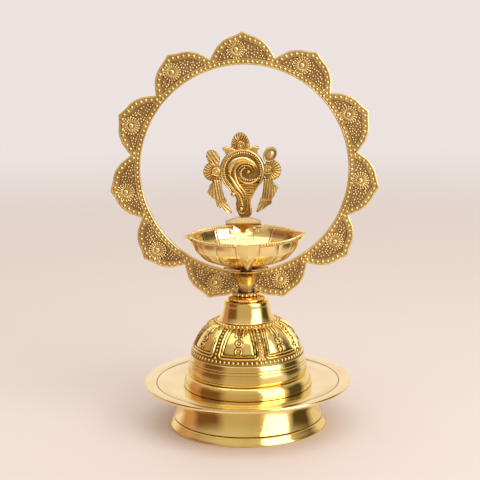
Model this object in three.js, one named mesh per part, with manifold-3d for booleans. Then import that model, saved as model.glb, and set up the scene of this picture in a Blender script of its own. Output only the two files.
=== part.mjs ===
// A brass oil lamp that stands on a table: a turned base with a drip plate and a
// domed body, a stem that ends in a cup, a scalloped halo plate held in the stem's
// slot, and a bowl with four wick spouts that carries a conch finial at its back.
// Millimetres, +Z up. The origin is the middle of the foot's underside, and the
// halo plate lies in the XZ plane with its decorated face towards -Y.

import * as THREE from 'three';
import { mergeVertices } from 'three/addons/utils/BufferGeometryUtils.js';
import Module from 'manifold-3d';

const wasm = await Module();
wasm.setup();

// Driving dimensions, in millimetres and degrees.

// Clearance left between pieces that touch on the real lamp.
const SEAT_GAP = 0.3;

// Rounding of the turned edges.
const EDGE_ROUND = 0.4;

// How far a tool runs past the material that it cuts.
const OVERCUT = 2.0;

// Foot: a hollow flared casting, open underneath, with a flat deck on top.
const FOOT_RADIUS = 41.4;
const FOOT_LIP_HEIGHT = 1.0;
const FOOT_GROOVE_RADIUS = 39.0;
const FOOT_GROOVE_HEIGHT = 4.3;
const FOOT_GROOVE_DEPTH = 0.3;
const FOOT_GROOVE_HALF_WIDTH = 0.5;
const FOOT_TOP_RADIUS = 34.6;
const FOOT_HEIGHT = 19.2;
const FOOT_WALL = 2.2;
const FOOT_DECK = 2.0;

// Drip plate: a shallow dish with an engraved circle.
const PLATE_RADIUS = 53.8;
const PLATE_THICKNESS = 1.7;
const PLATE_DISH = 2.3;
const PLATE_BAND = 6.1;
const PLATE_ENGRAVING = 0.4;
const PLATE_MARGIN = 1.0;

// Hub: the flared skirt that the domed body stands on.
const HUB_FLARE_RADIUS = 33.6;
const HUB_RADIUS = 30.9;
const HUB_HEIGHT = 5.7;
const HUB_WALL = 2.0;
const HUB_LEDGE = 4.0;

// Dome: the hollow domed body.
const DOME_FOOT_RADIUS = 29.2;
const DOME_RADIUS = 30.7;
const DOME_BULGE_HEIGHT = 5.1;
const DOME_BAND_HEIGHT = 11.7;
const DOME_BAND_RADIUS = 29.0;
const DOME_SHOULDER_RADIUS = 24.5;
const DOME_SHOULDER_HEIGHT = 20.7;
const DOME_TOP_RADIUS = 15.9;
const DOME_HEIGHT = 28.1;
const DOME_FULLNESS = 1.1;
const DOME_WALL = 2.0;

// Neck: the concave spool on the dome.
const NECK_FOOT_RADIUS = 14.8;
const NECK_CURVE_RADIUS = 13.1;
const NECK_CURVE_HEIGHT = 3.2;
const NECK_WAIST_RADIUS = 12.2;
const NECK_TOP_RADIUS = 12.0;
const NECK_RING_HEIGHT = 2.3;
const NECK_HEIGHT = 10.1;

// Tie rod with its washer and nut, which clamp the base together from below.
const ROD_RADIUS = 3.0;
const ROD_TAIL = 2.0;
const WASHER_RADIUS = 8.0;
const WASHER_THICKNESS = 0.8;
const NUT_ACROSS_FLATS = 10.0;
const NUT_HEIGHT = 5.0;

// Collar and beaded ring, which the rod screws into.
const COLLAR_RADIUS = 10.0;
const COLLAR_FOOT_RADIUS = 9.6;
const COLLAR_TOP_RADIUS = 8.0;
const COLLAR_HEIGHT = 2.0;
const BEAD_RING_RADIUS = 7.0;
const BEAD_RING_HEIGHT = 1.6;

// Cup stem: a trumpet with a slot across it for the halo plate.
const STEM_RADIUS = 4.4;
const STEM_HEIGHT = 12.2;
const STEM_FLOOR = 1.0;
const CUP_RADIUS = 11.65;
const CUP_LIP_HEIGHT = 0.6;
const CUP_WALL = 0.9;
const CUP_DEPTH = 6.0;

// Halo plate: an openwork ring with eleven pointed petals. Widths are measured
// outwards from the ring's inner edge, and angles from the nearest petal's tip.
const HALO_INNER_RADIUS = 52.9;
const HALO_VALLEY_WIDTH = 5.1;
const HALO_SHOULDER_WIDTH = 12.5;
const HALO_SHOULDER_ANGLE = 9.0;
const HALO_CREST_WIDTH = 14.7;
const HALO_CREST_ANGLE = 3.2;
const HALO_TIP_WIDTH = 16.4;
const HALO_PETALS = 11;
const HALO_THICKNESS = 4.5;
const HALO_FIELD_DEPTH = 0.7;
const HALO_INNER_BAND = 2.6;
const HALO_BORDER = 2.0;
const HALO_SINK = 1.7;
const HALO_TANG_WIDTH = 6.0;
const ROSETTE_RADIUS = 4.6;
const ROSETTE_PLACE = 7.5;
const ROSETTE_TURN = 2.0;
const ROSETTE_HEIGHT = 0.5;
const ROSETTE_FACETS = 10;
const STEM_SEAT_MARGIN = 0.5;

// Screw and spacer that carry the bowl above the halo's lower edge.
const SCREW_RADIUS = 1.2;
const SCREW_GRIP = 5.5;
const SCREW_HEAD_RADIUS = 3.2;
const SCREW_HEAD_HEIGHT = 1.2;
const SCREW_SLOT_WIDTH = 0.8;
const SPACER_RADIUS = 3.2;
const SPACER_HEIGHT = 3.9;

// Bowl: a thin casting with flat panels between creases and four pointed spouts.
const BOWL_RIM_RADIUS = 28.3;
const BOWL_BELLY_RADIUS = 25.6;
const BOWL_BELLY_DROP = 6.4;
const BOWL_HIP_RADIUS = 20.3;
const BOWL_HIP_DROP = 10.9;
const BOWL_FLOOR_RADIUS = 12.9;
const BOWL_DEPTH = 13.1;
const BOWL_WALL = 1.4;
const BOWL_PANEL_BULGE = 0.35;
const BOWL_TURN = 2.4;
const SPOUTS = 4;
const SPOUT_REACH = 4.1;
const SPOUT_HALF_ANGLE = 12.0;
const SPOUT_LIP_HEIGHT = 1.5;
const SPOUT_DROP = 4.6;
const BEAK_PROUD = 2.6;
const BEAK_TAPER = 0.7;

// Twisted wire that edges the bowl between its spouts.
const ROPE_RADIUS = 0.75;
const ROPE_END_ANGLE = 12.0;

// Finial foot, riveted behind the bowl's back wall.
const FINIAL_FOOT_WIDTH = 19.0;
const FINIAL_FOOT_DEPTH = 8.4;
const FINIAL_FOOT_HEIGHT = 3.2;
const FINIAL_FOOT_TOP_WIDTH = 6.4;
const FINIAL_FOOT_TOP_DEPTH = 4.6;
const FINIAL_FOOT_EDGE = 0.8;
const STRAP_THICKNESS = 1.4;
const STRAP_WIDTH = 19.0;
const STRAP_DROP = 5.6;
const RIVET_RADIUS = 0.9;
const RIVET_HEAD_RADIUS = 1.6;
const RIVET_HEAD_HEIGHT = 0.8;
const RIVET_TAIL_HEIGHT = 0.6;
const RIVET_SPACING = 14.0;
const RIVET_PLACE = 0.18;

// Conch finial: one flat casting with raised work on its front. Heights are above
// its own foot, and places across are from the middle of its disc.
const CONCH_THICKNESS = 3.2;
const DISC_RADIUS = 12.1;
const DISC_HEIGHT = 24.9;
const DISC_RIM_WIDTH = 1.5;
const DISC_RIM_PROUD = 0.7;
const SHELL_RADIUS = 8.4;
const SHELL_PROUD = 2.6;
const CREST_RADIUS = 5.0;
const CREST_HEIGHT = 40.6;
const LEAF_LENGTH = 5.0;
const LEAF_WIDTH = 1.8;
const LEAF_PLACE = 7.6;
const LEAF_HEIGHT = 36.4;
const FAN_RADIUS = 6.2;
const FAN_PLACE = 14.8;
const FAN_HEIGHT = 24.5;
const PETAL_LENGTH = 9.0;
const PETAL_WIDTH = 6.4;
const PETAL_PLACE = 15.3;
const PETAL_HEIGHT = 32.6;
const PETAL_TILT = 32.0;
const RIBBON_PLACE = 13.8;
const RIBBON_WIDTH = 4.0;
const FLAP_REACH = 19.5;
const KNOT_HEIGHT = 8.8;
const KNOT_WIDTH = 6.4;
const TASSEL_TIP = 6.9;
const TRIM_PROUD = 0.5;
const BALL_RADIUS = 1.5;
const BALL_PLACE = 5.2;
const BALL_HEIGHT = 11.9;
const CONCH_TAIL_LEFT = 3.4;
const CONCH_TAIL_RIGHT = 4.5;

// Facets in a full turn.
const TURNED_FACETS = 48;
const CUP_FACETS = 32;
const SMALL_FACETS = 24;
const SCREW_FACETS = 12;
const HALO_FACETS = 66;

// Finishes.
const POLISHED = { color: 0xd9b24c, roughness: 0.2, metalness: 1.0 };
const BURNISHED = { color: 0xe0bf74, roughness: 0.24, metalness: 1.0 };
const ANTIQUE = { color: 0xa98443, roughness: 0.42, metalness: 1.0 };
const TURNED_DARK = { color: 0x9a7838, roughness: 0.5, metalness: 1.0 };

// Places that follow from the dimensions, from the table up.
const plateFloor = FOOT_HEIGHT + SEAT_GAP;
const hubFloor = plateFloor + PLATE_THICKNESS + SEAT_GAP;
const hubTop = hubFloor + HUB_HEIGHT;
const domeFloor = hubTop + SEAT_GAP;
const domeTop = domeFloor + DOME_HEIGHT;
const neckFloor = domeTop + SEAT_GAP;
const neckTop = neckFloor + NECK_HEIGHT;
const collarFloor = neckTop + SEAT_GAP;
const collarTop = collarFloor + COLLAR_HEIGHT;
const beadRingFloor = collarTop + SEAT_GAP;
const beadRingTop = beadRingFloor + BEAD_RING_HEIGHT;
const stemFloor = beadRingTop + SEAT_GAP;
const stemTop = stemFloor + STEM_HEIGHT;
const haloBottom = stemTop - HALO_SINK;
const haloCentre = haloBottom + HALO_INNER_RADIUS;
const spacerFloor = haloCentre + SEAT_GAP
  - Math.sqrt(HALO_INNER_RADIUS ** 2 - SPACER_RADIUS ** 2);
const bowlFloor = spacerFloor + SPACER_HEIGHT + SEAT_GAP;
const bowlRim = bowlFloor + BOWL_DEPTH;
const spoutRim = bowlRim + SPOUT_LIP_HEIGHT;
const rodHole = ROD_RADIUS + SEAT_GAP;
const haloFront = -HALO_THICKNESS / 2;
const haloValleyRadius = HALO_INNER_RADIUS + HALO_VALLEY_WIDTH;
const haloShoulderRadius = HALO_INNER_RADIUS + HALO_SHOULDER_WIDTH;
const haloCrestRadius = HALO_INNER_RADIUS + HALO_CREST_WIDTH;
const haloTipRadius = HALO_INNER_RADIUS + HALO_TIP_WIDTH;
const rosettePitchRadius = HALO_INNER_RADIUS + ROSETTE_PLACE;
const finialPlaneY = BOWL_RIM_RADIUS + SPOUT_REACH / 2;
const ropeTop = bowlRim + SEAT_GAP + ROPE_RADIUS * 2;
const finialFootFloor = Math.max(spoutRim, ropeTop) + SEAT_GAP;
const conchFloor = finialFootFloor + FINIAL_FOOT_HEIGHT + SEAT_GAP;

const radians = THREE.MathUtils.degToRad;

// A closed mesh with shared corners, no slivers of zero size and faces pointing out.
function welded(geometry) {
  const bare = geometry.clone();
  bare.deleteAttribute('normal');
  bare.deleteAttribute('uv');
  const merged = mergeVertices(bare, 1e-4);
  const corners = merged.index.array;
  const position = merged.attributes.position;
  const kept = [];
  let volume = 0;
  const a = new THREE.Vector3();
  const b = new THREE.Vector3();
  const c = new THREE.Vector3();
  for (let i = 0; i < corners.length; i += 3) {
    const [p, q, r] = [corners[i], corners[i + 1], corners[i + 2]];
    if (p === q || q === r || r === p) {
      continue;
    }
    kept.push(p, q, r);
    a.fromBufferAttribute(position, p);
    b.fromBufferAttribute(position, q);
    c.fromBufferAttribute(position, r);
    volume += a.dot(b.cross(c));
  }
  if (volume < 0) {
    for (let i = 0; i < kept.length; i += 3) {
      [kept[i + 1], kept[i + 2]] = [kept[i + 2], kept[i + 1]];
    }
  }
  merged.setIndex(kept);
  return merged;
}

function toSolid(geometry) {
  const closed = welded(geometry);
  return new wasm.Manifold(new wasm.Mesh({
    numProp: 3,
    vertProperties: new Float32Array(closed.attributes.position.array),
    triVerts: new Uint32Array(closed.index.array),
  }));
}

function toGeometry(solid) {
  const mesh = solid.getMesh();
  const geometry = new THREE.BufferGeometry();
  geometry.setAttribute('position', new THREE.BufferAttribute(mesh.vertProperties, 3));
  geometry.setIndex(new THREE.BufferAttribute(mesh.triVerts, 1));
  return geometry;
}

// A closed profile of [radius, height] points, turned about Z.
function turned(profile, facets) {
  const points = profile.map(([radius, height]) => new THREE.Vector2(radius, height));
  points.push(points[0].clone());
  const geometry = new THREE.LatheGeometry(points, facets);
  geometry.rotateX(Math.PI / 2);
  return welded(geometry);
}

// A smooth run of [radius, height] points through the given ones.
function smooth(knots, steps) {
  const spline = new THREE.SplineCurve(knots.map(([x, y]) => new THREE.Vector2(x, y)));
  return spline.getPoints(steps).map((point) => [point.x, point.y]);
}

function cylinder(radius, floor, height, facets) {
  const geometry = new THREE.CylinderGeometry(radius, radius, height, facets);
  geometry.rotateX(Math.PI / 2);
  geometry.translate(0, 0, floor + height / 2);
  return geometry;
}

function tube(outer, inner, floor, height, facets) {
  const top = floor + height;
  return turned([[outer, floor], [outer, top], [inner, top], [inner, floor]], facets);
}

function block(width, depth, height, x, y, z) {
  const geometry = new THREE.BoxGeometry(width, depth, height);
  geometry.translate(x, y, z);
  return geometry;
}

// A flat outline drawn in X and Z, given its thickness along Y from front to back.
function plate(shape, front, back, steps = 12) {
  const geometry = new THREE.ExtrudeGeometry(shape, {
    depth: back - front,
    bevelEnabled: false,
    curveSegments: steps,
  });
  geometry.rotateX(Math.PI / 2);
  geometry.translate(0, back, 0);
  return geometry;
}

function add(parent, name, geometry, finish) {
  const mesh = new THREE.Mesh(geometry, new THREE.MeshStandardMaterial(finish));
  mesh.name = name;
  parent.add(mesh);
}

// Foot: the outside flares from the deck to a rounded lip, and the inside follows it.
function makeFoot() {
  const flare = smooth([
    [FOOT_GROOVE_RADIUS, FOOT_GROOVE_HEIGHT + FOOT_GROOVE_HALF_WIDTH],
    [FOOT_TOP_RADIUS * 0.59 + FOOT_GROOVE_RADIUS * 0.41, (FOOT_GROOVE_HEIGHT * 2 + FOOT_HEIGHT) / 3],
    [FOOT_TOP_RADIUS * 0.88 + FOOT_GROOVE_RADIUS * 0.12, (FOOT_GROOVE_HEIGHT + FOOT_HEIGHT * 2) / 3],
    [FOOT_TOP_RADIUS, FOOT_HEIGHT],
  ], 5);
  const lip = smooth([
    [FOOT_RADIUS, FOOT_LIP_HEIGHT],
    [(FOOT_RADIUS + FOOT_GROOVE_RADIUS) / 2, (FOOT_LIP_HEIGHT + FOOT_GROOVE_HEIGHT) / 2],
    [FOOT_GROOVE_RADIUS + FOOT_GROOVE_DEPTH, FOOT_GROOVE_HEIGHT - FOOT_GROOVE_HALF_WIDTH],
  ], 4);
  const cavityTop = FOOT_HEIGHT - FOOT_DECK;
  return turned([
    [FOOT_RADIUS, 0],
    ...lip,
    [FOOT_GROOVE_RADIUS - FOOT_GROOVE_DEPTH, FOOT_GROOVE_HEIGHT],
    ...flare,
    [rodHole, FOOT_HEIGHT],
    [rodHole, cavityTop],
    [FOOT_TOP_RADIUS - FOOT_WALL, cavityTop],
    [FOOT_GROOVE_RADIUS - FOOT_WALL, FOOT_GROOVE_HEIGHT],
    [FOOT_RADIUS - FOOT_WALL * 1.3, 0],
  ], TURNED_FACETS);
}

// Drip plate: a flat middle, a cone up to the rim and a shallow engraved circle.
function makeDripPlate() {
  const middle = HUB_FLARE_RADIUS + PLATE_MARGIN;
  const bandRadius = PLATE_RADIUS - PLATE_BAND;
  const rimTop = plateFloor + PLATE_THICKNESS + PLATE_DISH;
  const bandShare = (bandRadius - middle) / (PLATE_RADIUS - middle);
  const bandTop = plateFloor + PLATE_THICKNESS + PLATE_DISH * bandShare;
  const slopeStep = PLATE_ENGRAVING * PLATE_DISH / (PLATE_RADIUS - middle);
  return turned([
    [rodHole, plateFloor],
    [middle, plateFloor],
    [PLATE_RADIUS - EDGE_ROUND, rimTop - PLATE_THICKNESS],
    [PLATE_RADIUS, rimTop - PLATE_THICKNESS + EDGE_ROUND],
    [PLATE_RADIUS, rimTop - EDGE_ROUND],
    [PLATE_RADIUS - EDGE_ROUND, rimTop],
    [bandRadius + PLATE_ENGRAVING, bandTop + slopeStep],
    [bandRadius, bandTop - PLATE_ENGRAVING],
    [bandRadius - PLATE_ENGRAVING, bandTop - slopeStep],
    [middle, plateFloor + PLATE_THICKNESS],
    [rodHole, plateFloor + PLATE_THICKNESS],
  ], TURNED_FACETS);
}

// Hub: flares out to the plate, with a ledge inside its top for the dome.
function makeHub() {
  const outside = smooth([
    [HUB_FLARE_RADIUS, hubFloor + EDGE_ROUND],
    [HUB_RADIUS + (HUB_FLARE_RADIUS - HUB_RADIUS) * 0.42, hubFloor + HUB_HEIGHT * 0.25],
    [HUB_RADIUS + (HUB_FLARE_RADIUS - HUB_RADIUS) * 0.12, hubFloor + HUB_HEIGHT * 0.6],
    [HUB_RADIUS, hubTop - EDGE_ROUND],
  ], 6);
  return turned([
    [HUB_FLARE_RADIUS, hubFloor],
    ...outside,
    [HUB_RADIUS - EDGE_ROUND, hubTop],
    [HUB_RADIUS - HUB_WALL - HUB_LEDGE, hubTop],
    [HUB_RADIUS - HUB_WALL - HUB_LEDGE, hubTop - HUB_WALL],
    [HUB_RADIUS - HUB_WALL, hubTop - HUB_WALL],
    [HUB_RADIUS - HUB_WALL, hubFloor],
  ], TURNED_FACETS);
}

// Dome: a turned band below and a rounded shoulder above, hollow from below.
function domeOutline(inset) {
  return smooth([
    [DOME_FOOT_RADIUS - inset, domeFloor],
    [DOME_RADIUS - inset, domeFloor + DOME_BULGE_HEIGHT],
    [DOME_BAND_RADIUS - inset, domeFloor + DOME_BAND_HEIGHT],
    [DOME_SHOULDER_RADIUS - inset, domeFloor + DOME_SHOULDER_HEIGHT - inset * 0.5],
    [(DOME_SHOULDER_RADIUS + DOME_TOP_RADIUS) / 2 - inset * 0.4,
      domeFloor + (DOME_SHOULDER_HEIGHT + DOME_HEIGHT) / 2 + DOME_FULLNESS - inset],
    [DOME_TOP_RADIUS, domeTop - EDGE_ROUND - inset],
  ], 10);
}

function makeDome() {
  const inside = domeOutline(DOME_WALL).reverse();
  return turned([
    ...domeOutline(0),
    [DOME_TOP_RADIUS - EDGE_ROUND, domeTop],
    [rodHole, domeTop],
    [rodHole, domeTop - EDGE_ROUND - DOME_WALL],
    ...inside,
  ], TURNED_FACETS);
}

// Neck: a concave spool with a plain ring at its top.
function makeNeck() {
  const ringFloor = neckTop - NECK_RING_HEIGHT;
  const waist = smooth([
    [NECK_FOOT_RADIUS, neckFloor],
    [NECK_FOOT_RADIUS - EDGE_ROUND, neckFloor + EDGE_ROUND],
    [NECK_CURVE_RADIUS, neckFloor + NECK_CURVE_HEIGHT],
    [NECK_WAIST_RADIUS, ringFloor - EDGE_ROUND],
  ], 6);
  return turned([
    ...waist,
    [NECK_TOP_RADIUS - EDGE_ROUND, ringFloor],
    [NECK_TOP_RADIUS, ringFloor + EDGE_ROUND],
    [NECK_TOP_RADIUS, neckTop - EDGE_ROUND * 1.5],
    [NECK_TOP_RADIUS - EDGE_ROUND * 1.5, neckTop],
    [rodHole, neckTop],
    [rodHole, neckFloor],
  ], TURNED_FACETS);
}

function makeCollar() {
  const side = smooth([
    [COLLAR_FOOT_RADIUS, collarFloor],
    [COLLAR_RADIUS, collarFloor + COLLAR_HEIGHT * 0.3],
    [COLLAR_RADIUS * 0.6 + COLLAR_TOP_RADIUS * 0.4, collarFloor + COLLAR_HEIGHT * 0.75],
    [COLLAR_TOP_RADIUS, collarTop],
  ], 5);
  return turned([...side, [rodHole, collarTop], [rodHole, collarFloor]], SMALL_FACETS);
}

function makeBeadRing() {
  const middle = beadRingFloor + BEAD_RING_HEIGHT / 2;
  const side = smooth([
    [BEAD_RING_RADIUS - EDGE_ROUND, beadRingFloor],
    [BEAD_RING_RADIUS, middle],
    [BEAD_RING_RADIUS - EDGE_ROUND, beadRingTop],
  ], 4);
  return turned([...side, [rodHole, beadRingTop], [rodHole, beadRingFloor]], SMALL_FACETS);
}

function makeTieRod() {
  const floor = FOOT_HEIGHT - FOOT_DECK - SEAT_GAP * 2 - WASHER_THICKNESS - NUT_HEIGHT - ROD_TAIL;
  const top = beadRingTop;
  return cylinder(ROD_RADIUS, floor, top - floor, SMALL_FACETS);
}

function makeWasher() {
  const floor = FOOT_HEIGHT - FOOT_DECK - SEAT_GAP - WASHER_THICKNESS;
  return tube(WASHER_RADIUS, rodHole, floor, WASHER_THICKNESS, SMALL_FACETS);
}

function makeNut() {
  const floor = FOOT_HEIGHT - FOOT_DECK - SEAT_GAP * 2 - WASHER_THICKNESS - NUT_HEIGHT;
  const hexagon = cylinder(NUT_ACROSS_FLATS / 2 / Math.cos(Math.PI / 6), floor, NUT_HEIGHT, 6);
  const hole = cylinder(rodHole, floor - OVERCUT, NUT_HEIGHT + OVERCUT * 2, SMALL_FACETS);
  return toGeometry(toSolid(hexagon).subtract(toSolid(hole)));
}

// Cup stem: a trumpet, hollow at the top, slotted across for the halo plate.
function stemOutline() {
  return smooth([
    [STEM_RADIUS, stemFloor],
    [STEM_RADIUS + (CUP_RADIUS - STEM_RADIUS) * 0.04, stemFloor + STEM_HEIGHT * 0.25],
    [STEM_RADIUS + (CUP_RADIUS - STEM_RADIUS) * 0.2, stemFloor + STEM_HEIGHT * 0.48],
    [STEM_RADIUS + (CUP_RADIUS - STEM_RADIUS) * 0.52, stemFloor + STEM_HEIGHT * 0.75],
    [CUP_RADIUS, stemTop - CUP_LIP_HEIGHT],
  ], 9);
}

function makeCupStem() {
  const cupFloor = stemTop - CUP_DEPTH;
  const inside = stemOutline()
    .filter(([, height]) => height > cupFloor + CUP_WALL)
    .map(([radius, height]) => [radius - CUP_WALL, height])
    .reverse();
  const trumpet = turned([
    [0, stemFloor],
    ...stemOutline(),
    [CUP_RADIUS, stemTop],
    [CUP_RADIUS - CUP_WALL, stemTop],
    ...inside,
    [STEM_RADIUS - CUP_WALL, cupFloor],
    [0, cupFloor],
  ], CUP_FACETS);
  const slotFloor = stemFloor + STEM_FLOOR;
  const slotHeight = STEM_HEIGHT + OVERCUT;
  const slot = block(CUP_RADIUS * 3, HALO_THICKNESS + SEAT_GAP * 2, slotHeight,
    0, 0, slotFloor + slotHeight / 2);
  return toGeometry(toSolid(trumpet).subtract(toSolid(slot)));
}

// The radius of the halo's outline at an angle from the nearest petal tip.
function petalRadius(angle) {
  const halfPetal = 180 / HALO_PETALS;
  const knots = [
    [0, haloTipRadius],
    [HALO_CREST_ANGLE, haloCrestRadius],
    [HALO_SHOULDER_ANGLE, haloShoulderRadius],
    [(HALO_SHOULDER_ANGLE + halfPetal) / 2, haloShoulderRadius * 0.55 + haloValleyRadius * 0.45],
    [halfPetal, haloValleyRadius],
  ];
  const span = knots.findIndex(([knotAngle]) => angle <= knotAngle + 1e-6);
  if (span <= 0) {
    return haloTipRadius;
  }
  const [lowAngle, lowRadius] = knots[span - 1];
  const [highAngle, highRadius] = knots[span];
  return lowRadius + (highRadius - lowRadius) * (angle - lowAngle) / (highAngle - lowAngle);
}

// The corners of the halo's outline in X and Z, drawn in by the given amount.
function haloOutline(inset) {
  const halfPetal = 180 / HALO_PETALS;
  const stations = [-0.8, -0.55, -0.36, -0.2, 0, 0.2, 0.36, 0.55, 0.8, 1];
  const points = [];
  for (let petal = 0; petal < HALO_PETALS; petal += 1) {
    for (const station of stations) {
      const angle = radians(petal * 2 * halfPetal + station * halfPetal);
      const radius = petalRadius(Math.abs(station) * halfPetal) - inset;
      points.push(new THREE.Vector2(radius * Math.sin(angle), radius * Math.cos(angle)));
    }
  }
  return points;
}

// The outline runs anticlockwise, so that the hole's wall faces into the hole.
function shapeWithHole(outline, hole) {
  const clockwise = THREE.ShapeUtils.isClockWise(outline);
  const shape = new THREE.Shape(clockwise ? outline.reverse() : outline);
  shape.holes.push(new THREE.Path(hole));
  return shape;
}

function circlePath(radius, facets) {
  const points = [];
  for (let step = 0; step < facets; step += 1) {
    const angle = 2 * Math.PI * step / facets;
    points.push(new THREE.Vector2(radius * Math.sin(angle), radius * Math.cos(angle)));
  }
  return points;
}

// Halo plate: a sunk field between two raised borders, a rosette in each petal, a
// tang that fills the stem's slot, and a tapped hole down into the tang.
function makeHaloPlate() {
  const back = HALO_THICKNESS / 2;
  const ring = shapeWithHole(haloOutline(0), circlePath(HALO_INNER_RADIUS, HALO_FACETS));
  const field = shapeWithHole(haloOutline(HALO_BORDER),
    circlePath(HALO_INNER_RADIUS + HALO_INNER_BAND, HALO_FACETS));
  const fieldFloor = haloFront + HALO_FIELD_DEPTH;
  let solid = toSolid(plate(ring, haloFront, back));
  solid = solid.subtract(toSolid(plate(field, haloFront - OVERCUT, fieldFloor)));
  const overlap = SEAT_GAP;
  const reliefBack = fieldFloor + overlap;
  for (let petal = 0; petal < HALO_PETALS; petal += 1) {
    const angle = 2 * Math.PI * petal / HALO_PETALS - radians(ROSETTE_TURN);
    const rosette = new THREE.CylinderGeometry(
      ROSETTE_RADIUS * 0.75, ROSETTE_RADIUS, ROSETTE_HEIGHT + overlap, ROSETTE_FACETS);
    rosette.rotateX(Math.PI);
    rosette.translate(rosettePitchRadius * Math.sin(angle),
      reliefBack - (ROSETTE_HEIGHT + overlap) / 2, rosettePitchRadius * Math.cos(angle));
    solid = solid.add(toSolid(rosette));
  }
  const tangFloor = stemFloor + STEM_FLOOR + SEAT_GAP;
  const tangTop = haloBottom - HALO_VALLEY_WIDTH / 4;
  const tang = block(HALO_TANG_WIDTH, HALO_THICKNESS, tangTop - tangFloor,
    0, 0, (tangTop + tangFloor) / 2 - haloCentre);
  solid = solid.add(toSolid(tang));
  const seats = [
    [COLLAR_RADIUS, collarTop],
    [BEAD_RING_RADIUS, beadRingTop],
    [STEM_RADIUS + STEM_SEAT_MARGIN, stemFloor + STEM_FLOOR],
  ];
  const below = haloCentre - haloTipRadius - OVERCUT;
  for (const [radius, top] of seats) {
    const clearance = cylinder(radius + SEAT_GAP, below - haloCentre,
      top + SEAT_GAP - below, SMALL_FACETS);
    solid = solid.subtract(toSolid(clearance));
  }
  const hole = cylinder(SCREW_RADIUS + SEAT_GAP,
    haloBottom - haloCentre - SCREW_GRIP - SEAT_GAP, SCREW_GRIP + OVERCUT, SCREW_FACETS);
  return toGeometry(solid.subtract(toSolid(hole)));
}

function makeSpacer() {
  return tube(SPACER_RADIUS, SCREW_RADIUS + SEAT_GAP, spacerFloor, SPACER_HEIGHT, SMALL_FACETS);
}

function makeScrew() {
  const headFloor = bowlFloor + BOWL_WALL + SEAT_GAP;
  const shankFloor = haloBottom - SCREW_GRIP;
  const shankTop = headFloor + SCREW_HEAD_HEIGHT * 0.35;
  const shank = cylinder(SCREW_RADIUS, shankFloor, shankTop - shankFloor, SCREW_FACETS);
  const head = turned([
    [0, headFloor],
    [SCREW_HEAD_RADIUS, headFloor],
    [SCREW_HEAD_RADIUS, headFloor + SCREW_HEAD_HEIGHT * 0.4],
    [SCREW_HEAD_RADIUS * 0.7, headFloor + SCREW_HEAD_HEIGHT * 0.85],
    [0, headFloor + SCREW_HEAD_HEIGHT],
  ], 16);
  const groove = block(SCREW_HEAD_RADIUS * 2.4, SCREW_SLOT_WIDTH, SCREW_HEAD_HEIGHT, 0, 0,
    headFloor + SCREW_HEAD_HEIGHT);
  return toGeometry(toSolid(shank).add(toSolid(head)).subtract(toSolid(groove)));
}

// How much of a spout there is at an angle, from 1 on its line to 0 at its edge. The
// spout narrows down the wall, as share runs from 0 at the rim to 1 at the floor.
function spoutShare(angle, share) {
  const pitch = 360 / SPOUTS;
  const fromSpout = Math.abs(((angle % pitch) + pitch * 1.5) % pitch - pitch / 2);
  return Math.max(0, 1 - fromSpout / (SPOUT_HALF_ANGLE * (1 - BEAK_TAPER * share)));
}

// How much a flat panel stands out at an angle, from 0 on a crease to 1 mid-panel.
function panelShare(angle) {
  const pitch = 360 / SPOUTS;
  const fromSpout = Math.abs(((angle % pitch) + pitch * 1.5) % pitch - pitch / 2);
  if (fromSpout < SPOUT_HALF_ANGLE) {
    return 0;
  }
  const panelWidth = (pitch - SPOUT_HALF_ANGLE * 2) / 3;
  const across = ((fromSpout - SPOUT_HALF_ANGLE) % panelWidth) / panelWidth;
  return 4 * across * (1 - across);
}

// One [x, y, z] point of the bowl's wall. Angle 0 is the front spout, share runs
// from 0 at the rim to 1 at the floor, and offset grows or shrinks the surface.
const bowlSection = new THREE.SplineCurve([
  new THREE.Vector2(BOWL_RIM_RADIUS, 0),
  new THREE.Vector2(BOWL_RIM_RADIUS * 0.7 + BOWL_BELLY_RADIUS * 0.3, -BOWL_BELLY_DROP / 2),
  new THREE.Vector2(BOWL_BELLY_RADIUS, -BOWL_BELLY_DROP),
  new THREE.Vector2(BOWL_HIP_RADIUS, -BOWL_HIP_DROP),
  new THREE.Vector2(BOWL_FLOOR_RADIUS, -BOWL_DEPTH),
]);

function bowlPoint(angle, share, offset) {
  const section = bowlSection.getPoint(share);
  const spout = spoutShare(angle, share);
  const front = Math.cos(radians(angle)) > 0 ? 1 : 0;
  const isFrontSpout = Math.abs(Math.sin(radians(angle))) < 0.5 ? front : 0;
  const drop = -section.y;
  const lip = Math.max(0, 1 - drop / SPOUT_DROP);
  const reach = SPOUT_REACH * spout * lip * lip;
  const beakFade = Math.min(1, drop / SPOUT_DROP) * Math.min(1, (1 - share) * 4);
  const beak = BEAK_PROUD * spout * beakFade * isFrontSpout;
  const slope = Math.min(1, drop / BOWL_DEPTH);
  const panel = BOWL_PANEL_BULGE * panelShare(angle) * Math.min(1, (1 - share) * 3);
  const radius = section.x + reach + beak * (1 - slope * 0.6) + panel
    + offset * Math.sqrt(Math.max(0, 1 - slope * slope * 0.6));
  const lipRise = Math.min(1, Math.max(0, spout - 0.2) * 4);
  const spoutLift = SPOUT_LIP_HEIGHT * lipRise * Math.max(0, 1 - share * 6);
  const height = bowlRim + section.y - beak * slope - offset * slope * slope + spoutLift;
  const turn = radians(angle - 90);
  return [radius * Math.cos(turn), radius * Math.sin(turn), height];
}

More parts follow.
